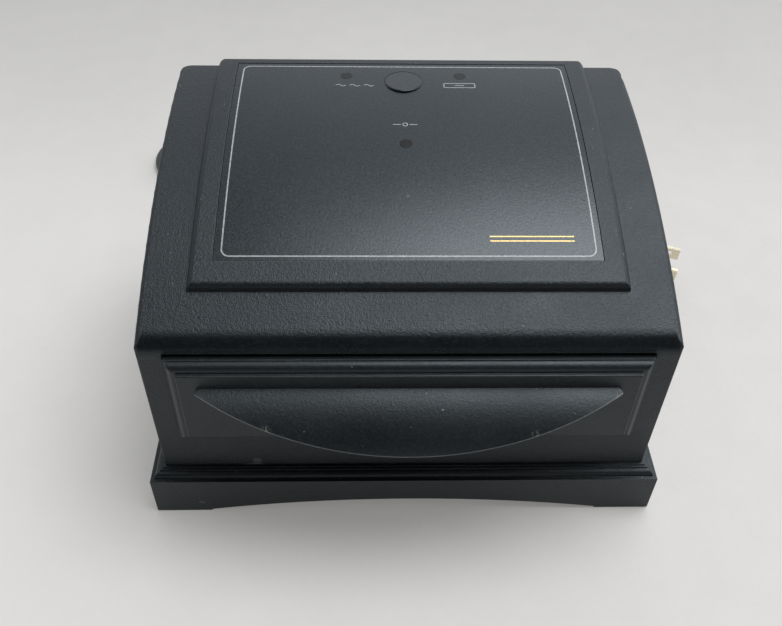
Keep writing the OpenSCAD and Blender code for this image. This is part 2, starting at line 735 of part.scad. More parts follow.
// Runner on the deck: a low rail under the tray and a guide beside it
module rail() color([0.85, 0.85, 0.83]) place() {
    guide_x = tray_w / 2 + side_gap;
    translate([guide_x - rail_lap, wall + 4, rail_z])
        cube([rail_lap + rail_guide, inner_back - wall - 8, rail_t]);
    translate([guide_x, wall + 4, rail_z]) cube([rail_guide, inner_back - wall - 8, 12]);
}

module right_rail() rail();
module left_rail() mirror([1, 0, 0]) rail();

module plate_screw_places() for (s = [-1, 1], y = [34, housing_d - 30])
    translate([s * (inner_w / 2 - ledge_depth / 2), y, 0]) children();

module ceiling_plate() color([0.75, 0.76, 0.77]) place() difference() {
    box_between(inner_w - 2 * fit_gap, wall + 8, inner_back - fit_gap, ceiling_z, ceiling_top);
    box_between(2 * holder_x + 0.6, lamp_y - lamp_r - 0.8, lamp_y + lamp_r + 0.8,
        ceiling_z - 1, ceiling_top + 1);
    box_between(2 * holder_x + 2 * holder_w, lamp_y - 1.5, lamp_y + 1.5, ceiling_z - 1, ceiling_top + 1);
    plate_screw_places() translate([0, 0, ceiling_z - 1]) cylinder(r = 1.1, h = 4);
}

module plate_screws() color("silver") place() plate_screw_places() {
    translate([0, 0, ceiling_top]) cylinder(r = 1.6, h = 1);
    translate([0, 0, ceiling_z - 2]) cylinder(r = 0.9, h = ceiling_t + 2 + eps);
}

// Small tube with a cap and a pin at each end
module sanitizing_lamp() color([0.85, 0.88, 0.95]) place()
    translate([0, lamp_y, lamp_z]) rotate([0, 90, 0]) {
        cylinder(r = lamp_r - 0.4, h = lamp_l, center = true);
        for (s = [-1, 1]) translate([0, 0, s * (lamp_l / 2 + 1)])
            cylinder(r = lamp_r, h = 8, center = true);
        cylinder(r = 1, h = 2 * holder_x + 8, center = true);
    }

module lamp_holders() color([0.9, 0.9, 0.9]) place() difference() {
    mirrored_x() translate([holder_x + 0.3, lamp_y - lamp_r - 2, ceiling_top])
        cube([holder_w, 2 * lamp_r + 4, lamp_z - ceiling_top + 3]);
    translate([0, lamp_y, lamp_z]) rotate([0, 90, 0])
        cylinder(r = 1.1, h = 2 * holder_x + 30, center = true);
}

// Bent sheet over the lamp with a flange along each side
module lamp_reflector() color([0.85, 0.86, 0.88]) place() across(lamp_l - 2) {
    difference() {
        translate([lamp_y, lamp_z]) circle(reflect_r + sheet_t);
        translate([lamp_y, lamp_z]) circle(reflect_r);
        translate([lamp_y - 20, lamp_z - 20]) square([40, 20]);
    }
    for (s = [0, 1]) mirror([s, 0]) translate([s * -2 * lamp_y, 0]) {
        translate([lamp_y + reflect_r, ceiling_top]) square([sheet_t, lamp_z - ceiling_top + eps]);
        translate([lamp_y + reflect_r, ceiling_top]) square([4, sheet_t]);
    }
}

ballast_w = 30;
ballast_d = 60;
ballast_gap = 10;
module lamp_ballast() color([0.2, 0.2, 0.22]) place()
    translate([fan_w / 2 + ballast_gap, fan_y - ballast_d / 2, floor_top])
        cube([ballast_w, ballast_d, deck_z - floor_top - 5]);

core_w = 34;
core_d = 30;
core_h = 21;
core_limb = 4.5;
core_window = 5;
core_gap = 9;
core_x = -fan_w / 2 - core_gap - core_w / 2;
module transformer_core() color([0.35, 0.35, 0.37]) place() difference() {
    translate([core_x - core_w / 2, fan_y - core_d / 2, floor_top]) cube([core_w, core_d, core_h]);
    for (s = [-1, 1]) translate([core_x + s * core_w / 4 - core_window / 2, fan_y - core_d / 2 - 1,
        floor_top + core_limb]) cube([core_window, core_d + 2, core_h - 2 * core_limb]);
}

// The winding goes through both windows and stands out at both ends.
coil_bulge = 5;
coil_limb_w = core_w / 2 - core_window;
module transformer_coil() color([0.75, 0.65, 0.2]) place() difference() {
    translate([core_x, fan_y, floor_top + core_h / 2])
        cube([coil_limb_w + 2 * core_window - 2 * fit_gap, core_d + 2 * coil_bulge,
            core_h - 2 * core_limb - 2 * fit_gap], center = true);
    translate([core_x, fan_y, floor_top + core_h / 2])
        cube([coil_limb_w + fit_gap, core_d + fit_gap, core_h], center = true);
}

heater_w = 50;
heater_d = 10;
heater_h = 7;
clip_t = 1;
clip_w = 5;
clip_in = 4;
heater_z = floor_top + clip_t;
module heater_block() color([0.9, 0.88, 0.82]) place()
    translate([-heater_w / 2, fan_y - heater_d / 2, heater_z]) cube([heater_w, heater_d, heater_h]);

module heater_clips() color("silver") place() mirrored_x()
    translate([heater_w / 2 - clip_in - clip_w, fan_y - heater_d / 2 - clip_t, floor_top])
        difference() {
            cube([clip_w, heater_d + 2 * clip_t, heater_h + 2 * clip_t]);
            translate([-1, clip_t, clip_t]) cube([clip_w + 2, heater_d, heater_h]);
        }

cutout_r = 3;
cutout_t = 4;
module thermal_cutout() color([0.8, 0.8, 0.82]) place()
    translate([0, fan_y - heater_d / 2, heater_z + heater_h / 2]) rotate([90, 0, 0])
        cylinder(r = cutout_r, h = cutout_t);

fan_screw_at = fan_w / 2 - 4;
module at_fan_screws() for (x = [-1, 1], y = [-1, 1])
    translate([x * fan_screw_at, fan_y + y * fan_screw_at, 0]) children();

// Square frame with a round bore, and a motor post on four struts
module fan_frame() color([0.1, 0.1, 0.11]) place() {
    difference() {
        translate([-fan_w / 2, fan_y - fan_w / 2, fan_z]) cube([fan_w, fan_w, fan_h]);
        translate([0, fan_y, fan_z - 1]) cylinder(r = fan_bore, h = fan_h + 2, $fn = 128);
        at_fan_screws() translate([0, 0, fan_z - 1]) cylinder(r = 1.2, h = fan_h + 2);
    }
    for (a = [45 : 90 : 315]) translate([0, fan_y, fan_z]) rotate(a)
        translate([hub_r - 3, -1.5, 0]) cube([fan_bore - hub_r + 4, 3, 1.4]);
    difference() {
        translate([0, fan_y, fan_z]) {
            cylinder(r = hub_r, h = 1.6);
            cylinder(r = hub_r - 3, h = fan_h - 5);
        }
        translate([0, fan_y, fan_z + 2]) cylinder(r = shaft_r, h = fan_h);
    }
}

// Hub cup with flat tilted blades
module fan_rotor() color([0.14, 0.14, 0.15]) place() translate([0, fan_y, fan_z]) difference() {
    union() {
        translate([0, 0, 2.2]) cylinder(r = hub_r, h = fan_h - 3.2);
        intersection() {
            for (i = [0 : fan_blades - 1]) rotate(i * 360 / fan_blades)
                translate([hub_r - 1.5, 0, fan_h / 2 + 0.6]) rotate([38, 0, 0])
                    translate([0, -6.5, -0.6]) cube([fan_w / 2, 13, 1.2]);
            translate([0, 0, 2.2]) cylinder(r = fan_bore - fan_gap, h = fan_h - 3.2, $fn = 128);
        }
    }
    translate([0, 0, 1]) cylinder(r = hub_r - 2.4, h = fan_h - 5.2);
    cylinder(r = shaft_r + 0.05, h = fan_h + 1);
}

module fan_shaft() color("silver") place() translate([0, fan_y, fan_z + 2])
    cylinder(r = shaft_r, h = fan_h - 3);

module fan_screws() color("silver") place() at_fan_screws() {
    translate([0, 0, fan_z - 1.4]) cylinder(r = 2.4, h = 1.4);
    translate([0, 0, fan_z - eps]) cylinder(r = 1.1, h = fan_h + deck_t - 0.2);
}

// Lead inside the base, from the strain relief to the transformer
module mains_lead() color(black) place()
    translate([exit_x, fan_y + core_d / 2, exit_z]) rotate([-90, 0, 0])
        cylinder(r = cord_d / 2, h = inner_back - 4 - fan_y - core_d / 2);

// Tapered boot outside, flange against the back, neck through the wall
module strain_relief() color(black) place() translate([exit_x, 0, exit_z]) rotate([-90, 0, 0]) {
    translate([0, 0, housing_d]) cylinder(r = boot_r + 0.6, h = 2);
    translate([0, 0, housing_d]) cylinder(r1 = boot_r, r2 = cord_d / 2 + 0.5, h = boot_l);
    translate([0, 0, inner_back - 2]) cylinder(r = boot_r - 0.65, h = wall + 2 + eps);
    translate([0, 0, inner_back - 4]) cylinder(r = boot_r, h = 2.9);
}

// Route of the cord behind the dryer, from the boot to the coil, with the bend
// that shows at the left. The dryer's front face is at y = 0 here.
lead_route = [[-40, 146, 14.7], [-40, 153, 14.4], [-40.6, 160, 12.8], [-42.5, 167, 9.8],
    [-46.5, 174, 6.4], [-52.5, 180, 3.8], [-60, 184.6, 2.6], [-69, 187.6, 2.5], [-79, 189.2, 2.5],
    [-90, 189.5, 2.5], [-102, 189.5, 2.5], [-112, 192.2, 2.5], [-119.3, 199.5, 2.5],
    [-122, 209.5, 2.5], [-119.3, 219.5, 2.5], [-112, 226.8, 2.5], [-102, 229.5, 2.5],
    [-90, 228.9, 2.5], [-76, 227, 2.5], [-60, 223.7, 2.5], [-44, 219.8, 2.5], [-28, 216, 2.5],
    [-14, 213.3, 2.6], [0, 211.6, 2.9], [10, 211.1, 3.2]];
// Route from the coil to the plug's own boot
tail_route = [[55.1, 162.7, 8.2], [55.1, 160, 8], [55.7, 154.8, 7.4], [57.3, 149.8, 6.9],
    [59.9, 145.3, 6.6], [63.4, 141.4, 6.6], [67.6, 138.4, 7.2], [72.4, 136.2, 8.1], [76, 135, 8.5]];
coil_at = [10, 166];
coil_mean_r = 30;
coil_cols = 5;
coil_rows = 2;
coil_w = coil_cols * cord_d;
coil_h = coil_rows * cord_d;
coil_round = 2;
coil_lift = 0.7;
tie_t = 0.4;
tie_w = 6;
tie_gap = 0.28;
plug_at = [112.2, 123.3, 8.5];
plug_turn = -18;
plug_roll = 9;

function unit(v) = v / norm(v);
function heading(p, i) = unit(p[min(i + 1, len(p) - 1)] - p[max(i - 1, 0)]);
function ring(c, d, r, n) = let (side = unit(cross(d, [0, 0, 1])), up = cross(side, d))
    [for (k = [0 : n - 1]) c + r * (cos(k * 360 / n) * side + sin(k * 360 / n) * up)];

// Sweeps a round section along a route as one closed solid.
module swept_cord(p, r, n = 8) {
    m = len(p);
    points = [for (i = [0 : m - 1]) each ring(p[i], heading(p, i), r, n)];
    sides = [for (i = [0 : m - 2], k = [0 : n - 1])
        [i * n + k, i * n + (k + 1) % n, (i + 1) * n + (k + 1) % n, (i + 1) * n + k]];
    caps = [[for (k = [n - 1 : -1 : 0]) k], [for (k = [0 : n - 1]) (m - 1) * n + k]];
    polyhedron(points = points, faces = concat(sides, caps), convexity = 6);
}

module power_cord_lead() color(black) place() swept_cord(lead_route, cord_d / 2);
module power_cord_tail() color(black) place() swept_cord(tail_route, cord_d / 2);

// Drawing of the coil's section, in from its middle radius and up from its underside
module coil_section(grow) translate([-coil_w / 2 - grow, -grow])
    square([coil_w + 2 * grow, coil_h + 2 * grow]);

// Outer shape of the round coil, five turns wide and two high
module power_cord_coil() color(black) place()
    translate([coil_at.x, coil_at.y, coil_lift]) rotate_extrude($fn = 96)
        translate([coil_mean_r, 0]) {
            translate([-coil_w / 2, coil_round]) square([coil_w, coil_h - 2 * coil_round]);
            translate([-coil_w / 2 + coil_round, 0]) square([coil_w - 2 * coil_round, coil_h]);
            for (x = [-1, 1], z = [coil_round, coil_h - coil_round])
                translate([x * (coil_w / 2 - coil_round), z]) circle(coil_round);
        }

// Band round the coil
module cord_tie() color([0.05, 0.05, 0.05]) place()
    translate([coil_at.x - coil_mean_r, coil_at.y + tie_w / 2, coil_lift]) rotate([90, 0, 0])
        linear_extrude(tie_w) difference() {
            coil_section(tie_gap + tie_t);
            coil_section(tie_gap);
        }

blade_l = 17;
blade_w = 6.35;
blade_t = 1.5;
blade_pitch = 12.7;
module at_plug() place() translate(plug_at) rotate(plug_turn) rotate([plug_roll, 0, 0]) children();

// Moulded plug lying on its side, with a tapered boot
module plug_body() color(black) at_plug() difference() {
    union() {
        hull() {
            translate([-3, -12.5, -6.5]) cube([3, 25, 13]);
            translate([-20, -9, -5.5]) cube([2, 18, 11]);
        }
        hull() {
            translate([-20, -8, -5]) cube([1, 16, 10]);
            translate([-26, 0, 0]) rotate([0, 90, 0]) cylinder(r = 4.6, h = 1, $fn = 24);
        }
        translate([-38, 0, 0]) rotate([0, 90, 0]) cylinder(r1 = 3.1, r2 = 4.4, h = 13);
    }
    for (s = [-1, 1]) translate([-4, s * blade_pitch / 2 - blade_t / 2, -blade_w / 2])
        cube([5, blade_t, blade_w]);
}

module plug_blades() color([0.85, 0.7, 0.4]) at_plug() for (s = [-1, 1]) difference() {
    translate([-4, s * blade_pitch / 2 - blade_t / 2, -blade_w / 2])
        cube([4 + blade_l, blade_t, blade_w]);
    translate([blade_l - 4.5, s * blade_pitch / 2 - 2, 0]) rotate([-90, 0, 0])
        cylinder(r = 1.5, h = 4);
}

housing_shell();
base_plinth();
foot_pads();
base_screws();
label_overlay();
start_key();
left_window();
right_window();
middle_window();
indicator_leds();
control_board();
board_screws();
key_switch();
switch_stem();
drawer_front();
drawer_tray();
tray_screws();
desiccant_case();
desiccant_fill();
desiccant_lid();
drawer_magnet();
reed_switch();
drawer_deck();
deck_screws();
left_rail();
right_rail();
ceiling_plate();
plate_screws();
sanitizing_lamp();
lamp_holders();
lamp_reflector();
lamp_ballast();
transformer_core();
transformer_coil();
heater_block();
heater_clips();
thermal_cutout();
fan_frame();
fan_rotor();
fan_shaft();
fan_screws();
mains_lead();
strain_relief();
power_cord_lead();
power_cord_coil();
power_cord_tail();
cord_tie();
plug_body();
plug_blades();
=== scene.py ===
"""Looks of the hearing aid dryer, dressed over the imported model. Units are metres."""
import math

import bpy
from mathutils import Matrix, Vector


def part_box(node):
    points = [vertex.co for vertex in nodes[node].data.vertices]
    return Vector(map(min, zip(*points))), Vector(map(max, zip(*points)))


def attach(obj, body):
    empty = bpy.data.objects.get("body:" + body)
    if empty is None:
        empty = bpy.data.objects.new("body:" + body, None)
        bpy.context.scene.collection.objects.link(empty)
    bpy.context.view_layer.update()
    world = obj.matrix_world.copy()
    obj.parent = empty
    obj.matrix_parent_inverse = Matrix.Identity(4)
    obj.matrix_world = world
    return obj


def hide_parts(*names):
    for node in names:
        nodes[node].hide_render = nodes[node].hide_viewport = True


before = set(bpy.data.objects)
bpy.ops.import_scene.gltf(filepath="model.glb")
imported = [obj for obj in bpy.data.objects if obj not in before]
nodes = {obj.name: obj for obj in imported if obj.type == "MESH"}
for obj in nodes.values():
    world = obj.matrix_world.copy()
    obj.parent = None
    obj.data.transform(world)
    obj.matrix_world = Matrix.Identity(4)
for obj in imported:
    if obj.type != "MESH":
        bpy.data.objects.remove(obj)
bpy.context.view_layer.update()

MM = 0.001
shell_low, shell_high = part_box("housing_shell")
FRONT_FACE = shell_low[1] / MM
HOUSING_DEPTH = shell_high[1] / MM - FRONT_FACE


def row(x, y, z):
    """A point given in mm behind the housing's front face, as the frame's metres."""
    return Vector((x, y + FRONT_FACE, z)) * MM


# Camera: angles in degrees, lens and sensor in mm, place in mm as row() takes it

CAMERA_YAW = 2.129
CAMERA_PITCH = 44.464
CAMERA_ROLL = 1.407
CAMERA_LENS = 40.081
CAMERA_SENSOR = 36
CAMERA_AT = (-12.90, -178.203, 268.552)


def make_camera():
    yaw, pitch, roll = (math.radians(a) for a in (CAMERA_YAW, CAMERA_PITCH, CAMERA_ROLL))
    forward = Vector((math.sin(yaw) * math.cos(pitch), math.cos(yaw) * math.cos(pitch), -math.sin(pitch)))
    level = Vector((math.cos(yaw), -math.sin(yaw), 0))
    upright = level.cross(forward)
    right = math.cos(roll) * level + math.sin(roll) * upright
    up = math.cos(roll) * upright - math.sin(roll) * level
    data = bpy.data.cameras.new("camera")
    data.lens = CAMERA_LENS
    data.sensor_width = CAMERA_SENSOR
    data.clip_start = 0.01
    camera = bpy.data.objects.new("camera", data)
    bpy.context.scene.collection.objects.link(camera)
    turn = Matrix((right, up, -forward)).transposed().to_4x4()
    camera.matrix_world = Matrix.Translation(row(*CAMERA_AT)) @ turn
    bpy.context.scene.camera = camera


# Mesh helpers

def add_object(name, mesh, material, body):
    piece = bpy.data.objects.new(name, mesh)
    bpy.context.scene.collection.objects.link(piece)
    mesh.materials.append(material)
    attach(piece, body)
    return piece


def mesh_of(name, points, faces, smooth_angle=40):
    mesh = bpy.data.meshes.new(name)
    mesh.from_pydata([tuple(p) for p in points], [], faces)
    mesh.update()
    mesh.validate()
    for polygon in mesh.polygons:
        polygon.use_smooth = True
    mesh.set_sharp_from_angle(angle=math.radians(smooth_angle))
    return mesh


def loft(name, rings, smooth_angle=40):
    """A closed mesh through rings that hold the same number of points."""
    n = len(rings[0])
    points = [p for ring in rings for p in ring]
    faces = []
    for i in range(len(rings) - 1):
        for k in range(n):
            k2 = (k + 1) % n
            faces.append((i * n + k, i * n + k2, (i + 1) * n + k2, (i + 1) * n + k))
    faces.append(tuple(reversed(range(n))))
    faces.append(tuple((len(rings) - 1) * n + k for k in range(n)))
    return mesh_of(name, points, faces, smooth_angle)


# Materials. Lengths are in mm; places are behind the housing's front face and above the table.

COOL = (0.84, 0.94, 1.0)
EDGE_ROUND = 0.25

# Noises as (scale, detail, roughness), and the bands of them that show
PATCHES = (38, 4, 0.6)
PATCH_BAND = (0.3, 0.7)
CLOUD = (14, 3, 0.55)
CLOUD_BAND = (0.42, 0.75)
GRAIN_FINE = (2600, 1.5, 0.6)
GRAIN_COARSE = (1000, 2, 0.6)
COARSE_BAND = (0.45, 0.75)
COARSE_HEIGHT = 1.1
NICK_CUTS = (1800, 2)
NICK_CUT_BAND = (0.5, 0.62)
MARK_RAGS = (700, 3, 0.6)
MARK_BAND = (1.5, 1.25)
LABEL_HAZE = (22, 3)
LABEL_DOTS = (1250, 3, 0.75)
INK_WEAR = (900, 3)

# Black plastic: its colour and roughness, and what lies on it as (share, colour), besides a painted
# highlight on the pull's lip and a painted sheen on its sideways slopes
BLACK = (0.0068, 0.0088, 0.0102)
BLACK_ROUGHNESS = 0.44
FILM = (0.025, (0.19, 0.2, 0.2))
FLECKS = (0.06, (0.15, 0.17, 0.18))
LIP_HIGHLIGHT = (0.6, (0.17, 0.178, 0.178))
NICK = (0.55, (0.33, 0.32, 0.3))
SIDE_SHEEN = (0.45, (0.1, 0.103, 0.103))
MARK = (0.5, (0.13, 0.15, 0.15))
DUST = (0.6, (0.42, 0.41, 0.39))

# Dust as (scale, size, share of cells), the slopes it lies on, and the turned slopes of the pull that get a
# painted sheen
DUST_SPECKS = (210, 0.08, 0.04)
DUST_LINT = (620, 0.15, 0.02)
UPWARD = (0.3, 0.9)
SIDEWAYS_SHEEN_TURN = (0.25, 0.6)

# Edges lightened as rubbed wear and as a painted highlight: how far from an edge, and how much the surface
# turns there
WORN_EDGE_AND_HIGHLIGHT_COLOUR = (0.13, 0.14, 0.145)
WORN_EDGE_AND_HIGHLIGHT_ROUND = 0.5
WORN_EDGE_AND_HIGHLIGHT_TURN = (0.88, 0.985)
WORN_EDGE_AND_HIGHLIGHT_LEAST = 0.35

LABEL_DARK = (0.0085, 0.0108, 0.0122)
LABEL_PALE = (0.19, 0.21, 0.22)
LABEL_HAZE_SHARE = 0.03
LABEL_DOT_SHARE = 0.07
LABEL_SPECKS = (160, 0.06, 0.04)
LABEL_DUST = (0.5, (0.45, 0.45, 0.43))
LABEL_ROUGHNESS = (0.24, 0.32)

# Front edge of the top: the round that is shaded over it, where it fades out, and where it is smooth
BROW_ROUND = 8.5
BROW_CENTRE_Z = 74.4
BROW_FADE = (5.8, 5.0)
BROW_SMOOTH = (4.0, 2.2)
BROW_START = (-0.1, 0.1)
BROW_POLISH = 0.16
BROW_GRAIN_LEFT = 0.35
BROW_LEAST_RISE = 4.0
OVER_DRAWER = (77, 74)
CORNER_LEAN = 0.3
CORNER_FADE = (105.3, 104.7)

# The pull: where its slope leaves the panel, the slope's tilt and length, and the radius that trims it
PULL_FOOT = (4.8, 65.9)
PULL_TILT = math.radians(41.52)
PULL_CHORD = 20.97
PULL_MOON = 121.42
LIP_BEFORE_PANEL = (-0.4, -0.8)
# Band along the pull's lip edge that gets a painted highlight
LIP_HIGHLIGHT_BAND = (-0.4, -0.25)
NICK_BAND = (-2.2, -1.1)
NICK_SPREAD = (1.9, 0.6)
NICKS = (-43.6, 38, 64.5)

# Marks as (middle, half sizes)
RAIL_MARKS = [((-50.9, 0, 22.6), (1.6, 1, 1.9)), ((-51.4, 0, 20.9), (4, 1, 0.5))]
PLINTH_MARKS = [((-71.3, -5, 5.2), (1.2, 1, 0.9))]


def new_material(name):
    material = bpy.data.materials.new(name)
    material.use_nodes = True
    tree = material.node_tree
    return material, tree, tree.nodes["Principled BSDF"]


def node(tree, kind, **values):
    made = tree.nodes.new(kind)
    for key, value in values.items():
        if key in made.inputs:
            made.inputs[key].default_value = value
        else:
            setattr(made, key, value)
    return made


def fill(tree, socket, value):
    """Puts a number or a colour on the socket, or links another socket to it."""
    if isinstance(value, (int, float)):
        socket.default_value = value
    elif isinstance(value, tuple):
        socket.default_value = (*value, 1)
    else:
        tree.links.new(value, socket)


def math_node(tree, operation, a, b=None):
    made = node(tree, "ShaderNodeMath", operation=operation)
    fill(tree, made.inputs[0], a)
    if b is not None:
        fill(tree, made.inputs[1], b)
    return made.outputs[0]


def product(tree, first, *others):
    for other in others:
        first = math_node(tree, "MULTIPLY", first, other)
    return first


def distance(tree, value, place=0):
    """How far a coordinate is from a place given in mm."""
    if place:
        value = math_node(tree, "SUBTRACT", value, place * MM)
    return math_node(tree, "ABSOLUTE", value)


def vector_node(tree, operation, a, b=None, output=0):
    made = node(tree, "ShaderNodeVectorMath", operation=operation)
    tree.links.new(a, made.inputs[0])
    if isinstance(b, Vector):
        made.inputs[1].default_value = b
    elif b is not None:
        tree.links.new(b, made.inputs[1])
    return made.outputs[output]


def xyz(tree, vector):
    split = node(tree, "ShaderNodeSeparateXYZ")
    tree.links.new(vector, split.inputs[0])
    return split.outputs


def object_place(tree):
    return node(tree, "ShaderNodeTexCoord").outputs["Object"]


def mix_colour(tree, factor, a, b):
    made = node(tree, "ShaderNodeMix", data_type="RGBA")
    for socket, value in ((made.inputs[0], factor), (made.inputs[6], a), (made.inputs[7], b)):
        fill(tree, socket, value)
    return made.outputs[2]


def tint(tree, colour, mask, share, paint):
    """Lays a share of the paint over the colour where the mask is bright."""
    return mix_colour(tree, product(tree, mask, share), colour, paint)


def ramp(tree, value, low, high, out_low=0.0, out_high=1.0):
    made = node(tree, "ShaderNodeMapRange")
    tree.links.new(value, made.inputs[0])
    for socket, number in zip(made.inputs[1:5], (low, high, out_low, out_high)):
        socket.default_value = number
    return made.outputs[0]


def fade(tree, value, ends, start=0.0):
    """From 0 to 1 between two places, given in mm from start."""
    return ramp(tree, value, *((start + end) * MM for end in ends))


def noise(tree, coordinates, scale, detail=2.0, roughness=0.5):
    made = node(tree, "ShaderNodeTexNoise", Scale=scale, Detail=detail, Roughness=roughness)
    tree.links.new(coordinates, made.inputs["Vector"])
    return made.outputs["Fac"]


def dust_specks(tree, coordinates, up, scale, size, keep):
    """Small pale specks on faces that look up; keep is the share of cells with a speck."""
    cells = node(tree, "ShaderNodeTexVoronoi", Scale=scale)
    tree.links.new(coordinates, cells.inputs["Vector"])
    near = ramp(tree, cells.outputs["Distance"], size, size * 0.5)
    parts = node(tree, "ShaderNodeSeparateColor")
    tree.links.new(cells.outputs["Color"], parts.inputs[0])
    chosen = math_node(tree, "LESS_THAN", parts.outputs[0], keep)
    return product(tree, near, chosen, up)


def rounded(tree, radius):
    """Normals that turn softly over the edges."""
    return node(tree, "ShaderNodeBevel", Radius=radius * MM, samples=4).outputs[0]


def edge_mask(tree, radius, low, high):
    """Bright where the surface turns sharply within the radius."""
    normal = node(tree, "ShaderNodeNewGeometry").outputs["Normal"]
    dot = vector_node(tree, "DOT_PRODUCT", rounded(tree, radius), normal, "Value")
    return ramp(tree, dot, high, low)


def finish_surface(tree, shader, height, grain, round_edges=EDGE_ROUND, shape=None, worn_flat=None):
    """Grain as a bump over normals that are rounded at the edges; both in mm."""
    if shape is None:
        shape = rounded(tree, round_edges)
    bump = node(tree, "ShaderNodeBump", Strength=1.0, Distance=grain * MM)
    if worn_flat is not None:
        tree.links.new(ramp(tree, worn_flat, 0, 1, 1, BROW_GRAIN_LEFT), bump.inputs["Strength"])
    tree.links.new(height, bump.inputs["Height"])
    tree.links.new(shape, bump.inputs["Normal"])
    tree.links.new(bump.outputs[0], shader.inputs["Normal"])


def brow_normals(tree, place):
    """A wide round shaded over the model's small one at the top's front edge, and its smooth part."""
    x, y, z = xyz(tree, place)
    join = node(tree, "ShaderNodeCombineXYZ")
    tree.links.new(math_node(tree, "SUBTRACT", y, (BROW_ROUND + FRONT_FACE) * MM), join.inputs[1])
    rise = math_node(tree, "SUBTRACT", z, BROW_CENTRE_Z * MM)
    least = product(tree, fade(tree, distance(tree, x), OVER_DRAWER), BROW_LEAST_RISE * MM)
    tree.links.new(math_node(tree, "MAXIMUM", rise, least), join.inputs[2])
    ahead = fade(tree, y, BROW_FADE, FRONT_FACE)
    above = fade(tree, z, BROW_START, BROW_CENTRE_Z)
    side = math_node(tree, "ADD", distance(tree, x), product(tree, z, CORNER_LEAN))
    mask = product(tree, ahead, above, fade(tree, side, CORNER_FADE))
    blend = node(tree, "ShaderNodeMix", data_type="VECTOR")
    tree.links.new(mask, blend.inputs[0])
    tree.links.new(rounded(tree, EDGE_ROUND), blend.inputs[4])
    tree.links.new(vector_node(tree, "NORMALIZE", join.outputs[0]), blend.inputs[5])
    return blend.outputs[1], product(tree, mask, fade(tree, y, BROW_SMOOTH, FRONT_FACE))


def lip_highlight_and_nick_masks(tree, place):
    """A painted highlight lies along the pull's lip, on the cylinder that trims it; a few nicks are cut into
    it.
    """
    x, y, z = xyz(tree, place)
    out = math_node(tree, "SUBTRACT", y, (FRONT_FACE - PULL_FOOT[0]) * MM)
    rise = math_node(tree, "SUBTRACT", z, PULL_FOOT[1] * MM)
    along = math_node(tree, "ADD", product(tree, out, math.cos(PULL_TILT)),
                      product(tree, rise, math.sin(PULL_TILT)))
    along = math_node(tree, "SUBTRACT", along, (PULL_MOON - PULL_CHORD) * MM)
    square = math_node(tree, "ADD", product(tree, x, x), product(tree, along, along))
    reach = math_node(tree, "SQRT", square)
    before_panel = fade(tree, out, LIP_BEFORE_PANEL)
    lip_highlight_mask = product(tree, fade(tree, reach, LIP_HIGHLIGHT_BAND, PULL_MOON), before_panel)
    band = product(tree, fade(tree, reach, NICK_BAND, PULL_MOON), before_panel)
    places = 0.0
    for nick in NICKS:
        places = math_node(tree, "ADD", fade(tree, distance(tree, x, nick), NICK_SPREAD), places)
    cuts = ramp(tree, noise(tree, place, *NICK_CUTS), *NICK_CUT_BAND)
    return lip_highlight_mask, product(tree, band, places, cuts)


def smudge(tree, place, at, size):
    """A ragged mark round a point of the object, given in mm."""
    offset = vector_node(tree, "SUBTRACT", place, row(*at))
    scaled = vector_node(tree, "DIVIDE", offset, Vector(size) * MM)
    far = vector_node(tree, "LENGTH", scaled, output="Value")
    ragged = math_node(tree, "ADD", far, noise(tree, place, *MARK_RAGS))
    return ramp(tree, ragged, *MARK_BAND)


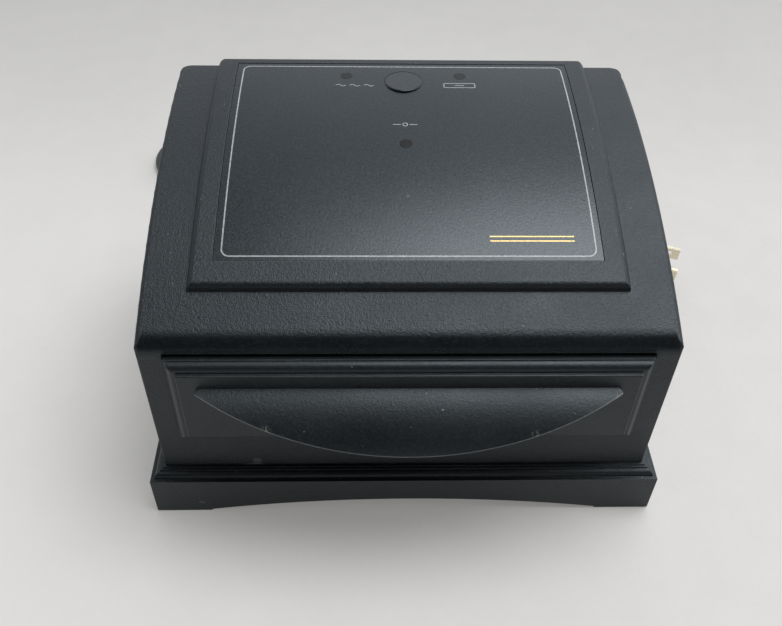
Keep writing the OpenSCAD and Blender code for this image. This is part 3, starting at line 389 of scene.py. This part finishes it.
def black_plastic(name, grain=0.13, edge_wear_and_highlight=0.5, dust=1.0, brow=False, pull_sheen_and_nicks=False, marks=()):
    """Satin black moulded plastic with a fine spark grain, edges lightened as wear and as a painted
    highlight, and a little dust; on the pull a painted lip highlight, nicks and a painted side sheen.
    """
    material, tree, shader = new_material(name)
    place = object_place(tree)
    across, _, upright = xyz(tree, node(tree, "ShaderNodeNewGeometry").outputs["Normal"])
    up = ramp(tree, upright, *UPWARD)
    patches = noise(tree, place, *PATCHES)
    cloud = noise(tree, place, *CLOUD)
    film = product(tree, ramp(tree, cloud, *CLOUD_BAND), up)
    share, paint = FILM
    colour = tint(tree, BLACK, film, share * dust, paint)
    grain_fine = noise(tree, place, *GRAIN_FINE)
    grain_coarse = noise(tree, place, *GRAIN_COARSE)
    colour = tint(tree, colour, ramp(tree, grain_coarse, *COARSE_BAND), *FLECKS)
    # Edges lightened as rubbed wear and as a painted edge highlight
    worn = product(tree, edge_mask(tree, WORN_EDGE_AND_HIGHLIGHT_ROUND, *WORN_EDGE_AND_HIGHLIGHT_TURN), edge_wear_and_highlight)
    colour = tint(tree, colour, worn, ramp(tree, patches, *PATCH_BAND, WORN_EDGE_AND_HIGHLIGHT_LEAST, 1), WORN_EDGE_AND_HIGHLIGHT_COLOUR)
    if pull_sheen_and_nicks:
        lip_highlight_mask, nicks = lip_highlight_and_nick_masks(tree, place)
        # Painted highlight along the pull's lip, then the nicks cut into it
        colour = tint(tree, colour, lip_highlight_mask, *LIP_HIGHLIGHT)
        colour = tint(tree, colour, nicks, *NICK)
        # Painted sheen on slopes that turn sideways
        colour = tint(tree, colour, ramp(tree, distance(tree, across), *SIDEWAYS_SHEEN_TURN), *SIDE_SHEEN)
    for at, size in marks:
        colour = tint(tree, colour, smudge(tree, place, at, size), *MARK)
    specks, lint = (dust_specks(tree, place, up, scale, size, keep * dust)
                    for scale, size, keep in (DUST_SPECKS, DUST_LINT))
    colour = tint(tree, colour, math_node(tree, "MAXIMUM", specks, lint), *DUST)
    tree.links.new(colour, shader.inputs["Base Color"])
    roughness = ramp(tree, patches, *PATCH_BAND, BLACK_ROUGHNESS - 0.04, BLACK_ROUGHNESS + 0.05)
    shape = smooth = None
    if brow:
        shape, smooth = brow_normals(tree, place)
        roughness = math_node(tree, "SUBTRACT", roughness, product(tree, smooth, BROW_POLISH))
    tree.links.new(roughness, shader.inputs["Roughness"])
    shader.inputs["Specular Tint"].default_value = (*COOL, 1)
    height = math_node(tree, "ADD", grain_fine, product(tree, grain_coarse, COARSE_HEIGHT))
    finish_surface(tree, shader, height, grain, shape=shape, worn_flat=smooth)
    return material


def moulded(name, base, rough, mottling=0.12, grain=0.02, specular=0.5):
    """A plain moulded or cast surface with slight mottling and a fine grain."""
    material, tree, shader = new_material(name)
    place = object_place(tree)
    broad = noise(tree, place, 60, 3)
    fine = noise(tree, place, 1500, 2)
    darker = tuple(c * (1 - 2 * mottling) for c in base)
    tree.links.new(mix_colour(tree, ramp(tree, broad, 0.3, 0.7), darker, base), shader.inputs["Base Color"])
    tree.links.new(ramp(tree, fine, 0.3, 0.7, rough - 0.04, rough + 0.04), shader.inputs["Roughness"])
    shader.inputs["Specular IOR Level"].default_value = specular
    finish_surface(tree, shader, fine, grain)
    return material


def brushed(name, base, rough):
    """Metal with fine brush lines across its length."""
    material, tree, shader = new_material(name)
    scaled = node(tree, "ShaderNodeMapping", Scale=(60, 60, 2500))
    tree.links.new(object_place(tree), scaled.inputs["Vector"])
    lines = noise(tree, scaled.outputs[0], 1, 3)
    dull = tuple(c * 0.8 for c in base)
    tree.links.new(mix_colour(tree, ramp(tree, lines, 0.35, 0.65), dull, base), shader.inputs["Base Color"])
    tree.links.new(ramp(tree, lines, 0.3, 0.7, rough - 0.06, rough + 0.08), shader.inputs["Roughness"])
    shader.inputs["Metallic"].default_value = 1.0
    finish_surface(tree, shader, lines, 0.004, 0.15)
    return material


def label_material(name="label_sheet", round_edges=0.1):
    """Satin printed sheet with a fine dot grain and a slight haze."""
    material, tree, shader = new_material(name)
    place = object_place(tree)
    haze = noise(tree, place, *LABEL_HAZE)
    dots = noise(tree, place, *LABEL_DOTS)
    colour = tint(tree, LABEL_DARK, ramp(tree, haze, 0.4, 0.8), LABEL_HAZE_SHARE, LABEL_PALE)
    colour = tint(tree, colour, ramp(tree, dots, 0.5, 0.7), LABEL_DOT_SHARE, LABEL_PALE)
    colour = tint(tree, colour, dust_specks(tree, place, 1.0, *LABEL_SPECKS), *LABEL_DUST)
    tree.links.new(colour, shader.inputs["Base Color"])
    tree.links.new(ramp(tree, dots, 0.35, 0.65, *LABEL_ROUGHNESS), shader.inputs["Roughness"])
    shader.inputs["Specular Tint"].default_value = (*COOL, 1)
    finish_surface(tree, shader, dots, 0.06, round_edges)
    return material


def print_ink(name, base, metallic=0.0):
    """Printed line on the label, a little worn."""
    material, tree, shader = new_material(name)
    worn = noise(tree, object_place(tree), *INK_WEAR)
    faded = tuple(c * 0.75 for c in base)
    tree.links.new(mix_colour(tree, ramp(tree, worn, 0.4, 0.62), faded, base), shader.inputs["Base Color"])
    tree.links.new(ramp(tree, worn, 0.3, 0.7, 0.3, 0.4), shader.inputs["Roughness"])
    shader.inputs["Metallic"].default_value = metallic
    return material


# Floor, lamp and world, in metres. The floor's layers are (scale, detail, roughness, share), and its reaches
# are where its painted light towards the front and the front-left and its painted shade towards the back
# start and end. The sky's light is a strength, and its turns are parts of the direction that is looked in.

FLOOR_REACH = 2.5
FLOOR_GLOW = 0.36
FLOOR_LAYERS = ((6, 3, 0.5, 0.5), (60, 4, 0.5, 0.25), (420, 3, 0.7, 0.25))
FLOOR_DARK = (0.425, 0.416, 0.4)
FLOOR_PALE = (0.5, 0.49, 0.472)
FLOOR_NEAR_LIGHT = (0.3, (0.62, 0.606, 0.585))
FLOOR_CORNER_LIGHT = (0.45, (0.64, 0.625, 0.605))
FLOOR_FAR_SHADE = (0.33, 0.323, 0.31)
FLOOR_FAR_SHADE_SHARE = 0.5
NEAR_LIGHT_REACH = (0.35, -0.05)
CORNER_LIGHT_REACH = (0.1, -0.25)
FAR_SHADE_REACH = (0.05, 0.4)
SKY_COLOUR = (0.92, 0.95, 1.0, 1)
SKY_LEFT = (0.22, 0.85)
SKY_RIGHT = (1.1, 1.22)
SKY_BEHIND = 0.05
SKY_SIDES = 0.4
SKY_SEEN = 0.68
SKY_AHEAD_TURN = (0.25, 0.7)
SKY_RIGHT_TURN = (-0.2, 0.12)
SKY_SIDE_TURN = (0.6, 0.95)
SKY_BACK_TURN = (-0.6, -0.1)
LAMP_AT = (0.3, 0.06, 1.15)
LAMP_AIM = (0.03, 0.0, 0.05)
LAMP_SIZE = 0.75
LAMP_WATTS = 8.5


def floor_material():
    """Pale table top with painted light towards the front and the front-left and painted shade towards the
    back; glossy and see-through rays find it as bright as the camera does.
    """
    material, tree, shader = new_material("floor")
    place = object_place(tree)
    layers = [product(tree, noise(tree, place, *layer), share) for *layer, share in FLOOR_LAYERS]
    mottle = math_node(tree, "ADD", math_node(tree, "ADD", layers[0], layers[1]), layers[2])
    x, y, _ = xyz(tree, place)
    near = ramp(tree, y, *NEAR_LIGHT_REACH)
    corner = product(tree, near, ramp(tree, x, *CORNER_LIGHT_REACH))
    far = ramp(tree, y, *FAR_SHADE_REACH, 0, FLOOR_FAR_SHADE_SHARE)
    colour = mix_colour(tree, ramp(tree, mottle, 0.3, 0.7), FLOOR_DARK, FLOOR_PALE)
    # Painted light near the front and at the front-left, painted shade towards the back
    colour = tint(tree, colour, near, *FLOOR_NEAR_LIGHT)
    colour = tint(tree, colour, corner, *FLOOR_CORNER_LIGHT)
    colour = mix_colour(tree, far, colour, FLOOR_FAR_SHADE)
    tree.links.new(colour, shader.inputs["Base Color"])
    shader.inputs["Roughness"].default_value = 0.8
    shader.inputs["Specular IOR Level"].default_value = 0.15
    rays = node(tree, "ShaderNodeLightPath").outputs
    seen = math_node(tree, "MAXIMUM", rays["Is Camera Ray"], rays["Is Glossy Ray"])
    seen = math_node(tree, "MAXIMUM", seen, rays["Is Transmission Ray"])
    tree.links.new(colour, shader.inputs["Emission Color"])
    tree.links.new(product(tree, seen, FLOOR_GLOW), shader.inputs["Emission Strength"])
    return material


def mix_numbers(tree, factor, a, b):
    made = node(tree, "ShaderNodeMix", data_type="FLOAT")
    tree.links.new(factor, made.inputs[0])
    fill(tree, made.inputs[2], a)
    fill(tree, made.inputs[3], b)
    return made.outputs[0]


def make_world():
    """Soft room light: pale walls behind the object and at its sides, darkness behind the camera."""
    world = bpy.data.worlds.new("world")
    bpy.context.scene.world = world
    world.use_nodes = True
    tree = world.node_tree
    background = tree.nodes["Background"]
    background.inputs["Color"].default_value = SKY_COLOUR
    x, y, _ = xyz(tree, node(tree, "ShaderNodeTexCoord").outputs["Generated"])
    left, right = (ramp(tree, y, *SKY_AHEAD_TURN, *pair) for pair in (SKY_LEFT, SKY_RIGHT))
    ahead = mix_numbers(tree, ramp(tree, x, *SKY_RIGHT_TURN), left, right)
    sides = ramp(tree, distance(tree, x), *SKY_SIDE_TURN, 0, SKY_SIDES)
    dim = ramp(tree, y, *SKY_BACK_TURN, SKY_BEHIND, 1)
    light = product(tree, math_node(tree, "ADD", ahead, sides), dim)
    seen = node(tree, "ShaderNodeLightPath").outputs["Is Camera Ray"]
    tree.links.new(mix_numbers(tree, seen, light, SKY_SEEN), background.inputs["Strength"])


def make_lamp():
    data = bpy.data.lights.new("overhead", "AREA")
    data.shape = "DISK"
    data.size = LAMP_SIZE
    data.energy = LAMP_WATTS
    light = bpy.data.objects.new("overhead", data)
    bpy.context.scene.collection.objects.link(light)
    light.location = LAMP_AT
    aim = Vector(LAMP_AIM) - Vector(LAMP_AT)
    light.rotation_euler = aim.to_track_quat("-Z", "Y").to_euler()


def make_stage():
    mesh = bpy.data.meshes.new("floor")
    corners = [(sx * FLOOR_REACH, sy * FLOOR_REACH, 0) for sx, sy in ((-1, -1), (1, -1), (1, 1), (-1, 1))]
    mesh.from_pydata(corners, [], [(0, 1, 2, 3)])
    floor = bpy.data.objects.new("floor", mesh)
    bpy.context.scene.collection.objects.link(floor)
    mesh.materials.append(floor_material())
    make_world()
    make_lamp()


# Cord. The routes repeat the model's own points, in mm behind the housing's front face.

CORD_DIAMETER = 5
CORD_EXIT = (-40, 120, 14.7)
LEAD_ROUTE = [
    CORD_EXIT, (-40, 133, 14.7), (-40, 146, 14.7), (-40, 153, 14.4), (-40.6, 160, 12.8),
    (-42.5, 167, 9.8), (-46.5, 174, 6.4), (-52.5, 180, 3.8), (-60, 184.6, 2.6), (-69, 187.6, 2.5),
    (-79, 189.2, 2.5), (-88, 189.3, 2.5), (-95, 189.3, 2.5), (-102, 189.4, 2.5),
    (-107.18, 190.16, 2.5), (-112, 192.18, 2.5), (-116.14, 195.36, 2.5), (-119.32, 199.5, 2.5),
    (-121.32, 204.32, 2.5), (-122, 209.5, 2.5), (-121.32, 214.68, 2.5), (-119.32, 219.5, 2.5),
    (-116.14, 223.64, 2.5), (-112, 226.82, 2.5), (-107.18, 228.84, 2.5), (-102, 229.57, 2.5),
    (-95, 229.4, 2.5), (-87, 228.7, 2.5), (-76, 227, 2.5), (-60, 223.7, 2.5), (-44, 219.8, 2.5),
    (-28, 216, 2.5), (-14, 213.3, 2.6), (0, 211.6, 2.9),
]
TAIL_ROUTE = [
    (55.1, 160, 8), (55.7, 154.8, 7.5), (57.3, 149.8, 7.1), (59.9, 145.3, 6.9), (63.4, 141.4, 6.9),
    (67.6, 138.4, 7.3), (72.3, 136.2, 8), (76, 135, 8.4),
]
COIL_AT = (10, 166)
COIL_START = 90
COIL_RADII = [
    (0, 45.1), (70, 40), (180, 40), (360, 35), (540, 35), (720, 30), (900, 30), (1080, 25), (1260, 25),
    (1440, 20), (1620, 20), (1800, 25), (1980, 25), (2160, 30), (2340, 30), (2520, 35), (2700, 35),
    (2880, 40), (2900, 40), (2970, 45.1),
]
COIL_HEIGHTS = [(0, 3.2), (1415, 3.2), (1645, 8.2), (2970, 8.2)]


def eased(table, at):
    """A value from a table of (degrees travelled, value), moving softly between its rows."""
    for (t0, v0), (t1, v1) in zip(table, table[1:]):
        if at <= t1:
            break
    share = (at - t0) / (t1 - t0)
    return v0 + (v1 - v0) * share * share * (3 - 2 * share)


def coil_points(every=15):
    """Turns go inwards along the floor, rise on the innermost one and come out above."""
    points = []
    for travelled in range(0, COIL_RADII[-1][0] + 1, every):
        radius = eased(COIL_RADII, travelled)
        angle = math.radians(COIL_START - travelled)
        x = COIL_AT[0] + radius * math.cos(angle)
        y = COIL_AT[1] + radius * math.sin(angle)
        points.append((x, y, eased(COIL_HEIGHTS, travelled)))
    return points


def set_course(spline, route):
    """Handles a third of the way to the neighbours, level with the line between them."""
    spline.bezier_points.add(len(route) - 1)
    last = len(route) - 1
    for i, point in enumerate(spline.bezier_points):
        before, here, after = route[max(i - 1, 0)], route[i], route[min(i + 1, last)]
        along = (after - before).normalized()
        point.co = here
        point.handle_left_type = point.handle_right_type = "FREE"
        point.handle_left = here - along * (here - before).length / 3
        point.handle_right = here + along * (after - here).length / 3


def make_cord(material):
    data = bpy.data.curves.new("power_cord", "CURVE")
    data.dimensions = "3D"
    data.bevel_depth = CORD_DIAMETER / 2 * MM
    data.bevel_resolution = 6
    data.resolution_u = 5
    data.use_fill_caps = True
    route = LEAD_ROUTE + coil_points() + TAIL_ROUTE
    set_course(data.splines.new("BEZIER"), [row(*at) for at in route])
    cord = bpy.data.objects.new("power_cord", data)
    bpy.context.scene.collection.objects.link(cord)
    data.materials.append(material)
    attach(cord, "root")
    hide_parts("power_cord_lead", "power_cord_coil", "power_cord_tail")
    return cord


# Pieces on the cord, in mm. The boot runs from the back wall along the cord.

BOOT_STEM = (-2, 3.7)
BOOT_LENGTH = 26
BOOT_RADII = (4.4, 3.0)
BOOT_END = ((0.5, 0), (0.1, 0.25), (0, 0.5))
FLANGE_RADIUS = 5.0
FLANGE_THICK = 2.0
FLANGE_CHAMFER = 0.3
CUT_FIRST = 4.5
CUT_LAND = 2
CUT_COUNT = 6
CUT_SHARE = 0.42
CUT_SLOPE = 0.12
CUT_DEPTH = 0.55

PLUG_AT = (112.2, 123.3, 8.5)
PLUG_TURN = math.radians(-18)
PLUG_ROLL = math.radians(9)

# Sections across the plug as (behind its face, half width, half height, corner radius)
PLUG_FACE = ((0, 11.4, 5.4, 2.0), (0.4, 12.1, 6.1, 2.4), (1.2, 12.45, 6.45, 2.6), (3.2, 12.45, 6.45, 2.6))
PLUG_SHOULDER = ((18, 9.2, 5.6, 2.8), (20, 8.2, 5.3, 3.2), (22, 6.6, 4.9, 3.8), (24, 5.2, 4.6, 4.4),
                 (25.2, 4.7, 4.45, 4.4))
PLUG_END = ((37.5, 3.0, 3.0, 3.0), (38, 2.7, 2.7, 2.7))

# The grip tapers over its length; each groove is (further back, narrower, lower, corner radius)
GRIP_START = 3.2
GRIP_LENGTH = 16.8
GRIP_WIDTHS = (12.4, 9.1)
GRIP_HEIGHTS = (6.4, 5.55)
GROOVE_PLACES = (4.2, 7.4, 10.6, 13.8)
GROOVE = ((0, 0, 0, 2.6), (0.5, 0.75, 0.35, 2.4), (1.5, 0.85, 0.35, 2.4), (2.0, 0.3, 0.05, 2.6))

# The plug's own boot has ribs; each is (further back, thinner)
RIB_START = 26
RIB_PITCH = 2.2
RIB_COUNT = 5
RIB_RADIUS = 4.16
RIB_TAPER = 0.24
RIB = ((0, 0), (0.9, 0.08), (1.0, 0.65), (2.0, 0.7), (2.1, 0.2))


def between_ends(ends, share):
    return ends[0] + (ends[1] - ends[0]) * share


def circle_ring(along, radius, at, direction, count=32):
    side = direction.cross(Vector((0, 0, 1))).normalized()
    above = side.cross(direction)
    centre = at + direction * along
    return [centre + radius * (math.cos(t) * side + math.sin(t) * above)
            for t in (2 * math.pi * k / count for k in range(count))]


def ribbed_profile():
    """(distance, radius) pairs of the tapered boot with its flange and cut rings."""
    rim = FLANGE_RADIUS - FLANGE_CHAMFER
    profile = [(0, rim), (FLANGE_CHAMFER, FLANGE_RADIUS), (FLANGE_THICK - FLANGE_CHAMFER, FLANGE_RADIUS),
               (FLANGE_THICK, rim), (FLANGE_THICK, BOOT_RADII[0])]
    pitch = (BOOT_LENGTH - CUT_FIRST - CUT_LAND) / CUT_COUNT
    width = CUT_SHARE * pitch
    cut = ((0, 0), (CUT_SLOPE, CUT_DEPTH), (width - CUT_SLOPE, CUT_DEPTH), (width, 0))
    for i in range(CUT_COUNT):
        for offset, sink in cut:
            at = CUT_FIRST + i * pitch + offset
            profile.append((at, between_ends(BOOT_RADII, at / BOOT_LENGTH) - sink))
    return profile + [(BOOT_LENGTH - back, BOOT_RADII[1] - sink) for back, sink in BOOT_END]


def make_strain_relief(material):
    """The boot in the back wall, with the stem that reaches into the wall."""
    profile = [BOOT_STEM] + ribbed_profile()
    rings = [circle_ring(d * MM, r * MM, row(*CORD_EXIT), Vector((0, 1, 0))) for d, r in profile]
    mesh = loft("strain_relief_boot", rings, 35)
    return add_object("strain_relief_boot", mesh, material, "root")


def rounded_ring(behind, half_width, half_height, corner, count=10):
    """Rounded rectangle across the plug's axis."""
    corner = min(corner, half_width - 0.01, half_height - 0.01)
    points = []
    for quarter, (sy, sz) in enumerate(((1, 1), (-1, 1), (-1, -1), (1, -1))):
        for k in range(count):
            t = math.pi / 2 * (quarter + k / (count - 1))
            points.append((-behind, sy * (half_width - corner) + corner * math.cos(t),
                           sz * (half_height - corner) + corner * math.sin(t)))
    return points


def plug_sections():
    sections = list(PLUG_FACE)
    for place in GROOVE_PLACES:
        share = (place - GRIP_START) / GRIP_LENGTH
        width = between_ends(GRIP_WIDTHS, share)
        height = between_ends(GRIP_HEIGHTS, share)
        sections += [(place + back, width - narrower, height - lower, corner)
                     for back, narrower, lower, corner in GROOVE]
    sections += PLUG_SHOULDER
    for i in range(RIB_COUNT):
        radius = RIB_RADIUS - RIB_TAPER * i
        sections += [(RIB_START + i * RIB_PITCH + back, radius - thinner, radius - thinner, radius)
                     for back, thinner in RIB]
    sections += PLUG_END
    return sections


def make_plug(material):
    """Moulded two-blade plug with finger grooves and a ribbed boot."""
    turn = Matrix.Rotation(PLUG_TURN, 4, "Z") @ Matrix.Rotation(PLUG_ROLL, 4, "X")
    place = Matrix.Translation(row(*PLUG_AT)) @ turn
    rings = [[place @ (Vector(p) * MM) for p in rounded_ring(*section)] for section in plug_sections()]
    mesh = loft("plug_moulding", rings, 50)
    plug = add_object("plug_moulding", mesh, material, "root")
    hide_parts("plug_body")
    return plug


# Print on the label. Places are in mm from the middle and behind the front face.

ARCH_RADIUS = 295.56
ARCH_TOP_Y = 120
LABEL_BACK_Y = HOUSING_DEPTH - 3
PRINT_RISE = 0.02
SILVER = (0.42, 0.44, 0.44)
GOLD = (0.72, 0.52, 0.2)
COURSE_STEP = 2.0

BORDER = (-58.1, 58.4, 25.9, 115.0, 2.5)
BORDER_WIDTH = 0.45
SIGN_WIDTH = 0.32
WAVE_STARTS = ((-24.3, 102.6), (-19.3, 102.6), (-14.3, 102.6))
WAVE_SIZE = (3.6, 0.5)
WAVE_POINTS = 12
DRAWER_SIGN = (14.6, 25.8, 101.4, 104.0, 0.5)
DRAWER_PULL_SIGN = ((18.6, 102.7), (21.8, 102.7))
LAMP_SIGN = (0, 80.3, 0.8)
LAMP_RAYS = (1.5, 4.2)
RULE_ENDS = (23.3, 54)
RULE_ROWS = (31.2, 32.8)
RULE_WIDTH = 0.42

# A narrow ring of the label's sheet along the edge of the key's hole
KEY_Y = 105
KEY_EDGE = 7.08
KEY_SKIN_WIDTH = 0.5
KEY_SKIN_ANGLES = range(-35, 216, 5)


def arch_sink(y):
    """How far the arch lies below its highest line."""
    return ARCH_RADIUS - math.sqrt(ARCH_RADIUS ** 2 - (ARCH_TOP_Y - y) ** 2)


def on_label(x, y):
    """A point on the label's face, whose highest edge gives the arch's height."""
    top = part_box("label_overlay")[1].z / MM
    return row(x, y, top + arch_sink(LABEL_BACK_Y) - arch_sink(y) + PRINT_RISE)


def line_mesh(name, courses, width):
    """Flat ribbons along courses of (x, y) points; a course that ends where it starts is closed."""
    points = []
    faces = []
    for course in courses:
        closed = course[0] == course[-1]
        spots = course[:-1] if closed else course
        n = len(spots)
        first = len(points)
        for i, (x, y) in enumerate(spots):
            before = spots[i - 1] if closed or i else spots[0]
            after = spots[(i + 1) % n] if closed or i < n - 1 else spots[-1]
            along = Vector((after[0] - before[0], after[1] - before[1])).normalized()
            across = Vector((-along.y, along.x)) * width / 2
            points.append(on_label(x + across.x, y + across.y))
            points.append(on_label(x - across.x, y - across.y))
        for i in range(n if closed else n - 1):
            j = (i + 1) % n
            faces.append((first + 2 * i, first + 2 * i + 1, first + 2 * j + 1, first + 2 * j))
    return mesh_of(name, points, faces)


def arc_course(x, y, radius, angles):
    """Points at angles in degrees."""
    return [(x + radius * math.cos(math.radians(a)), y + radius * math.sin(math.radians(a))) for a in angles]


def between(a, b, step=COURSE_STEP):
    count = max(1, round(math.dist(a, b) / step))
    return [(a[0] + (b[0] - a[0]) * k / count, a[1] + (b[1] - a[1]) * k / count) for k in range(1, count)]


def frame_course(x0, x1, y0, y1, radius, step=COURSE_STEP):
    """Closed rectangle with rounded corners, with a point every few mm so that it follows the arch."""
    course = []
    corners = ((x1 - radius, y1 - radius, 0), (x0 + radius, y1 - radius, 90),
               (x0 + radius, y0 + radius, 180), (x1 - radius, y0 + radius, 270))
    for cx, cy, start in corners:
        arc = arc_course(cx, cy, radius, range(start, start + 91, 10))
        if course:
            course += between(course[-1], arc[0], step)
        course += arc
    course += between(course[-1], course[0], step)
    return course + [course[0]]


def wave_course(x, y):
    length, height = WAVE_SIZE
    shares = [k / WAVE_POINTS for k in range(WAVE_POINTS + 1)]
    return [(x + length * share, y + height * math.sin(2 * math.pi * share)) for share in shares]


def lamp_courses():
    x, y, radius = LAMP_SIGN
    ring = arc_course(x, y, radius, range(0, 360, 20))
    rays = [[(side * reach, y) for reach in LAMP_RAYS] for side in (-1, 1)]
    return [ring + [ring[0]]] + rays


def print_piece(name, courses, width, material):
    add_object(name, line_mesh(name, courses, width), material, "root")


def make_print():
    """Silver border, plain signs for warm air, drawer and lamp, and two plain gold rules."""
    silver = print_ink("silver_print", SILVER)
    print_piece("label_border", [frame_course(*BORDER)], BORDER_WIDTH, silver)
    signs = [wave_course(*start) for start in WAVE_STARTS]
    signs += [frame_course(*DRAWER_SIGN, step=1.0), DRAWER_PULL_SIGN]
    signs += lamp_courses()
    print_piece("label_signs", signs, SIGN_WIDTH, silver)
    skin = arc_course(0, KEY_Y, KEY_EDGE, KEY_SKIN_ANGLES)
    print_piece("key_skin", [skin], KEY_SKIN_WIDTH, label_material("key_skin", 0.05))
    rules = [between((RULE_ENDS[0], y), (RULE_ENDS[1], y)) for y in RULE_ROWS]
    print_piece("label_rule", rules, RULE_WIDTH, print_ink("gold_print", GOLD, 0.35))


# Dressing of the CAD nodes

def dress(material, *names):
    """The model's own shading normals stay; the materials round the edges."""
    for name in names:
        materials = nodes[name].data.materials
        materials.clear()
        materials.append(material)


def dress_outside():
    dress(black_plastic("shell_plastic", brow=True, marks=RAIL_MARKS), "housing_shell")
    dress(black_plastic("base_plastic", edge_wear_and_highlight=0.4, marks=PLINTH_MARKS), "base_plinth")
    dress(black_plastic("panel_plastic", edge_wear_and_highlight=0.9, grain=0.06, dust=1.8, pull_sheen_and_nicks=True), "drawer_front")
    dress(moulded("foot_rubber", (0.02, 0.02, 0.02), 0.8), "foot_pads")
    dress(label_material(), "label_overlay")
    dress(label_material("key_face", 0.3), "start_key")
    dress(moulded("tinted_window", (0.004, 0.004, 0.0045), 0.3, specular=0.3),
          "left_window", "right_window", "middle_window")
    dress(moulded("tie_rubber", (0.03, 0.03, 0.032), 0.6), "cord_tie")
    dress(brushed("blade_brass", (0.82, 0.75, 0.58), 0.28), "plug_blades")


def dress_inside():
    dress(moulded("inner_plastic", (0.03, 0.03, 0.033), 0.5),
          "drawer_tray", "left_rail", "right_rail", "lamp_ballast", "mains_lead")
    dress(moulded("deck_plastic", (0.04, 0.04, 0.043), 0.55), "drawer_deck")
    dress(brushed("screw_steel", (0.55, 0.56, 0.57), 0.32),
          "base_screws", "board_screws", "tray_screws", "deck_screws", "plate_screws", "fan_screws",
          "fan_shaft", "heater_clips", "thermal_cutout")
    dress(brushed("bright_sheet", (0.78, 0.79, 0.8), 0.25), "ceiling_plate", "lamp_reflector")
    dress(moulded("led_epoxy", (0.6, 0.66, 0.55), 0.15), "indicator_leds")
    dress(moulded("solder_mask", (0.012, 0.09, 0.035), 0.3), "control_board")
    dress(moulded("switch_black", (0.02, 0.02, 0.02), 0.45), "key_switch")
    dress(moulded("stem_plastic", (0.55, 0.5, 0.4), 0.45), "switch_stem")
    dress(moulded("white_plastic", (0.74, 0.74, 0.71), 0.42, mottling=0.04),
          "desiccant_case", "desiccant_lid", "lamp_holders")
    dress(moulded("bead_bed", (0.55, 0.36, 0.2), 0.7), "desiccant_fill")
    dress(brushed("nickel", (0.6, 0.6, 0.58), 0.2), "drawer_magnet")
    dress(moulded("reed_case", (0.03, 0.03, 0.03), 0.4), "reed_switch")
    dress(moulded("lamp_tube", (0.72, 0.76, 0.82), 0.12, mottling=0.02), "sanitizing_lamp")
    dress(brushed("laminations", (0.22, 0.22, 0.23), 0.4), "transformer_core")
    dress(moulded("coil_tape", (0.6, 0.45, 0.06), 0.35), "transformer_coil")
    dress(moulded("ceramic", (0.72, 0.7, 0.64), 0.6), "heater_block")
    dress(moulded("fan_plastic", (0.022, 0.022, 0.024), 0.42), "fan_frame", "fan_rotor")


def main():
    make_camera()
    make_stage()
    cord = make_cord(moulded("cord_jacket", (0.017, 0.018, 0.02), 0.42, grain=0.01))
    boot_rubber = moulded("boot_rubber", (0.018, 0.019, 0.021), 0.5)
    boot = make_strain_relief(boot_rubber)
    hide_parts("strain_relief")
    plug = make_plug(boot_rubber)
    dress_outside()
    dress_inside()
    make_print()


main()
bpy.context.scene.view_settings.view_transform = "Standard"
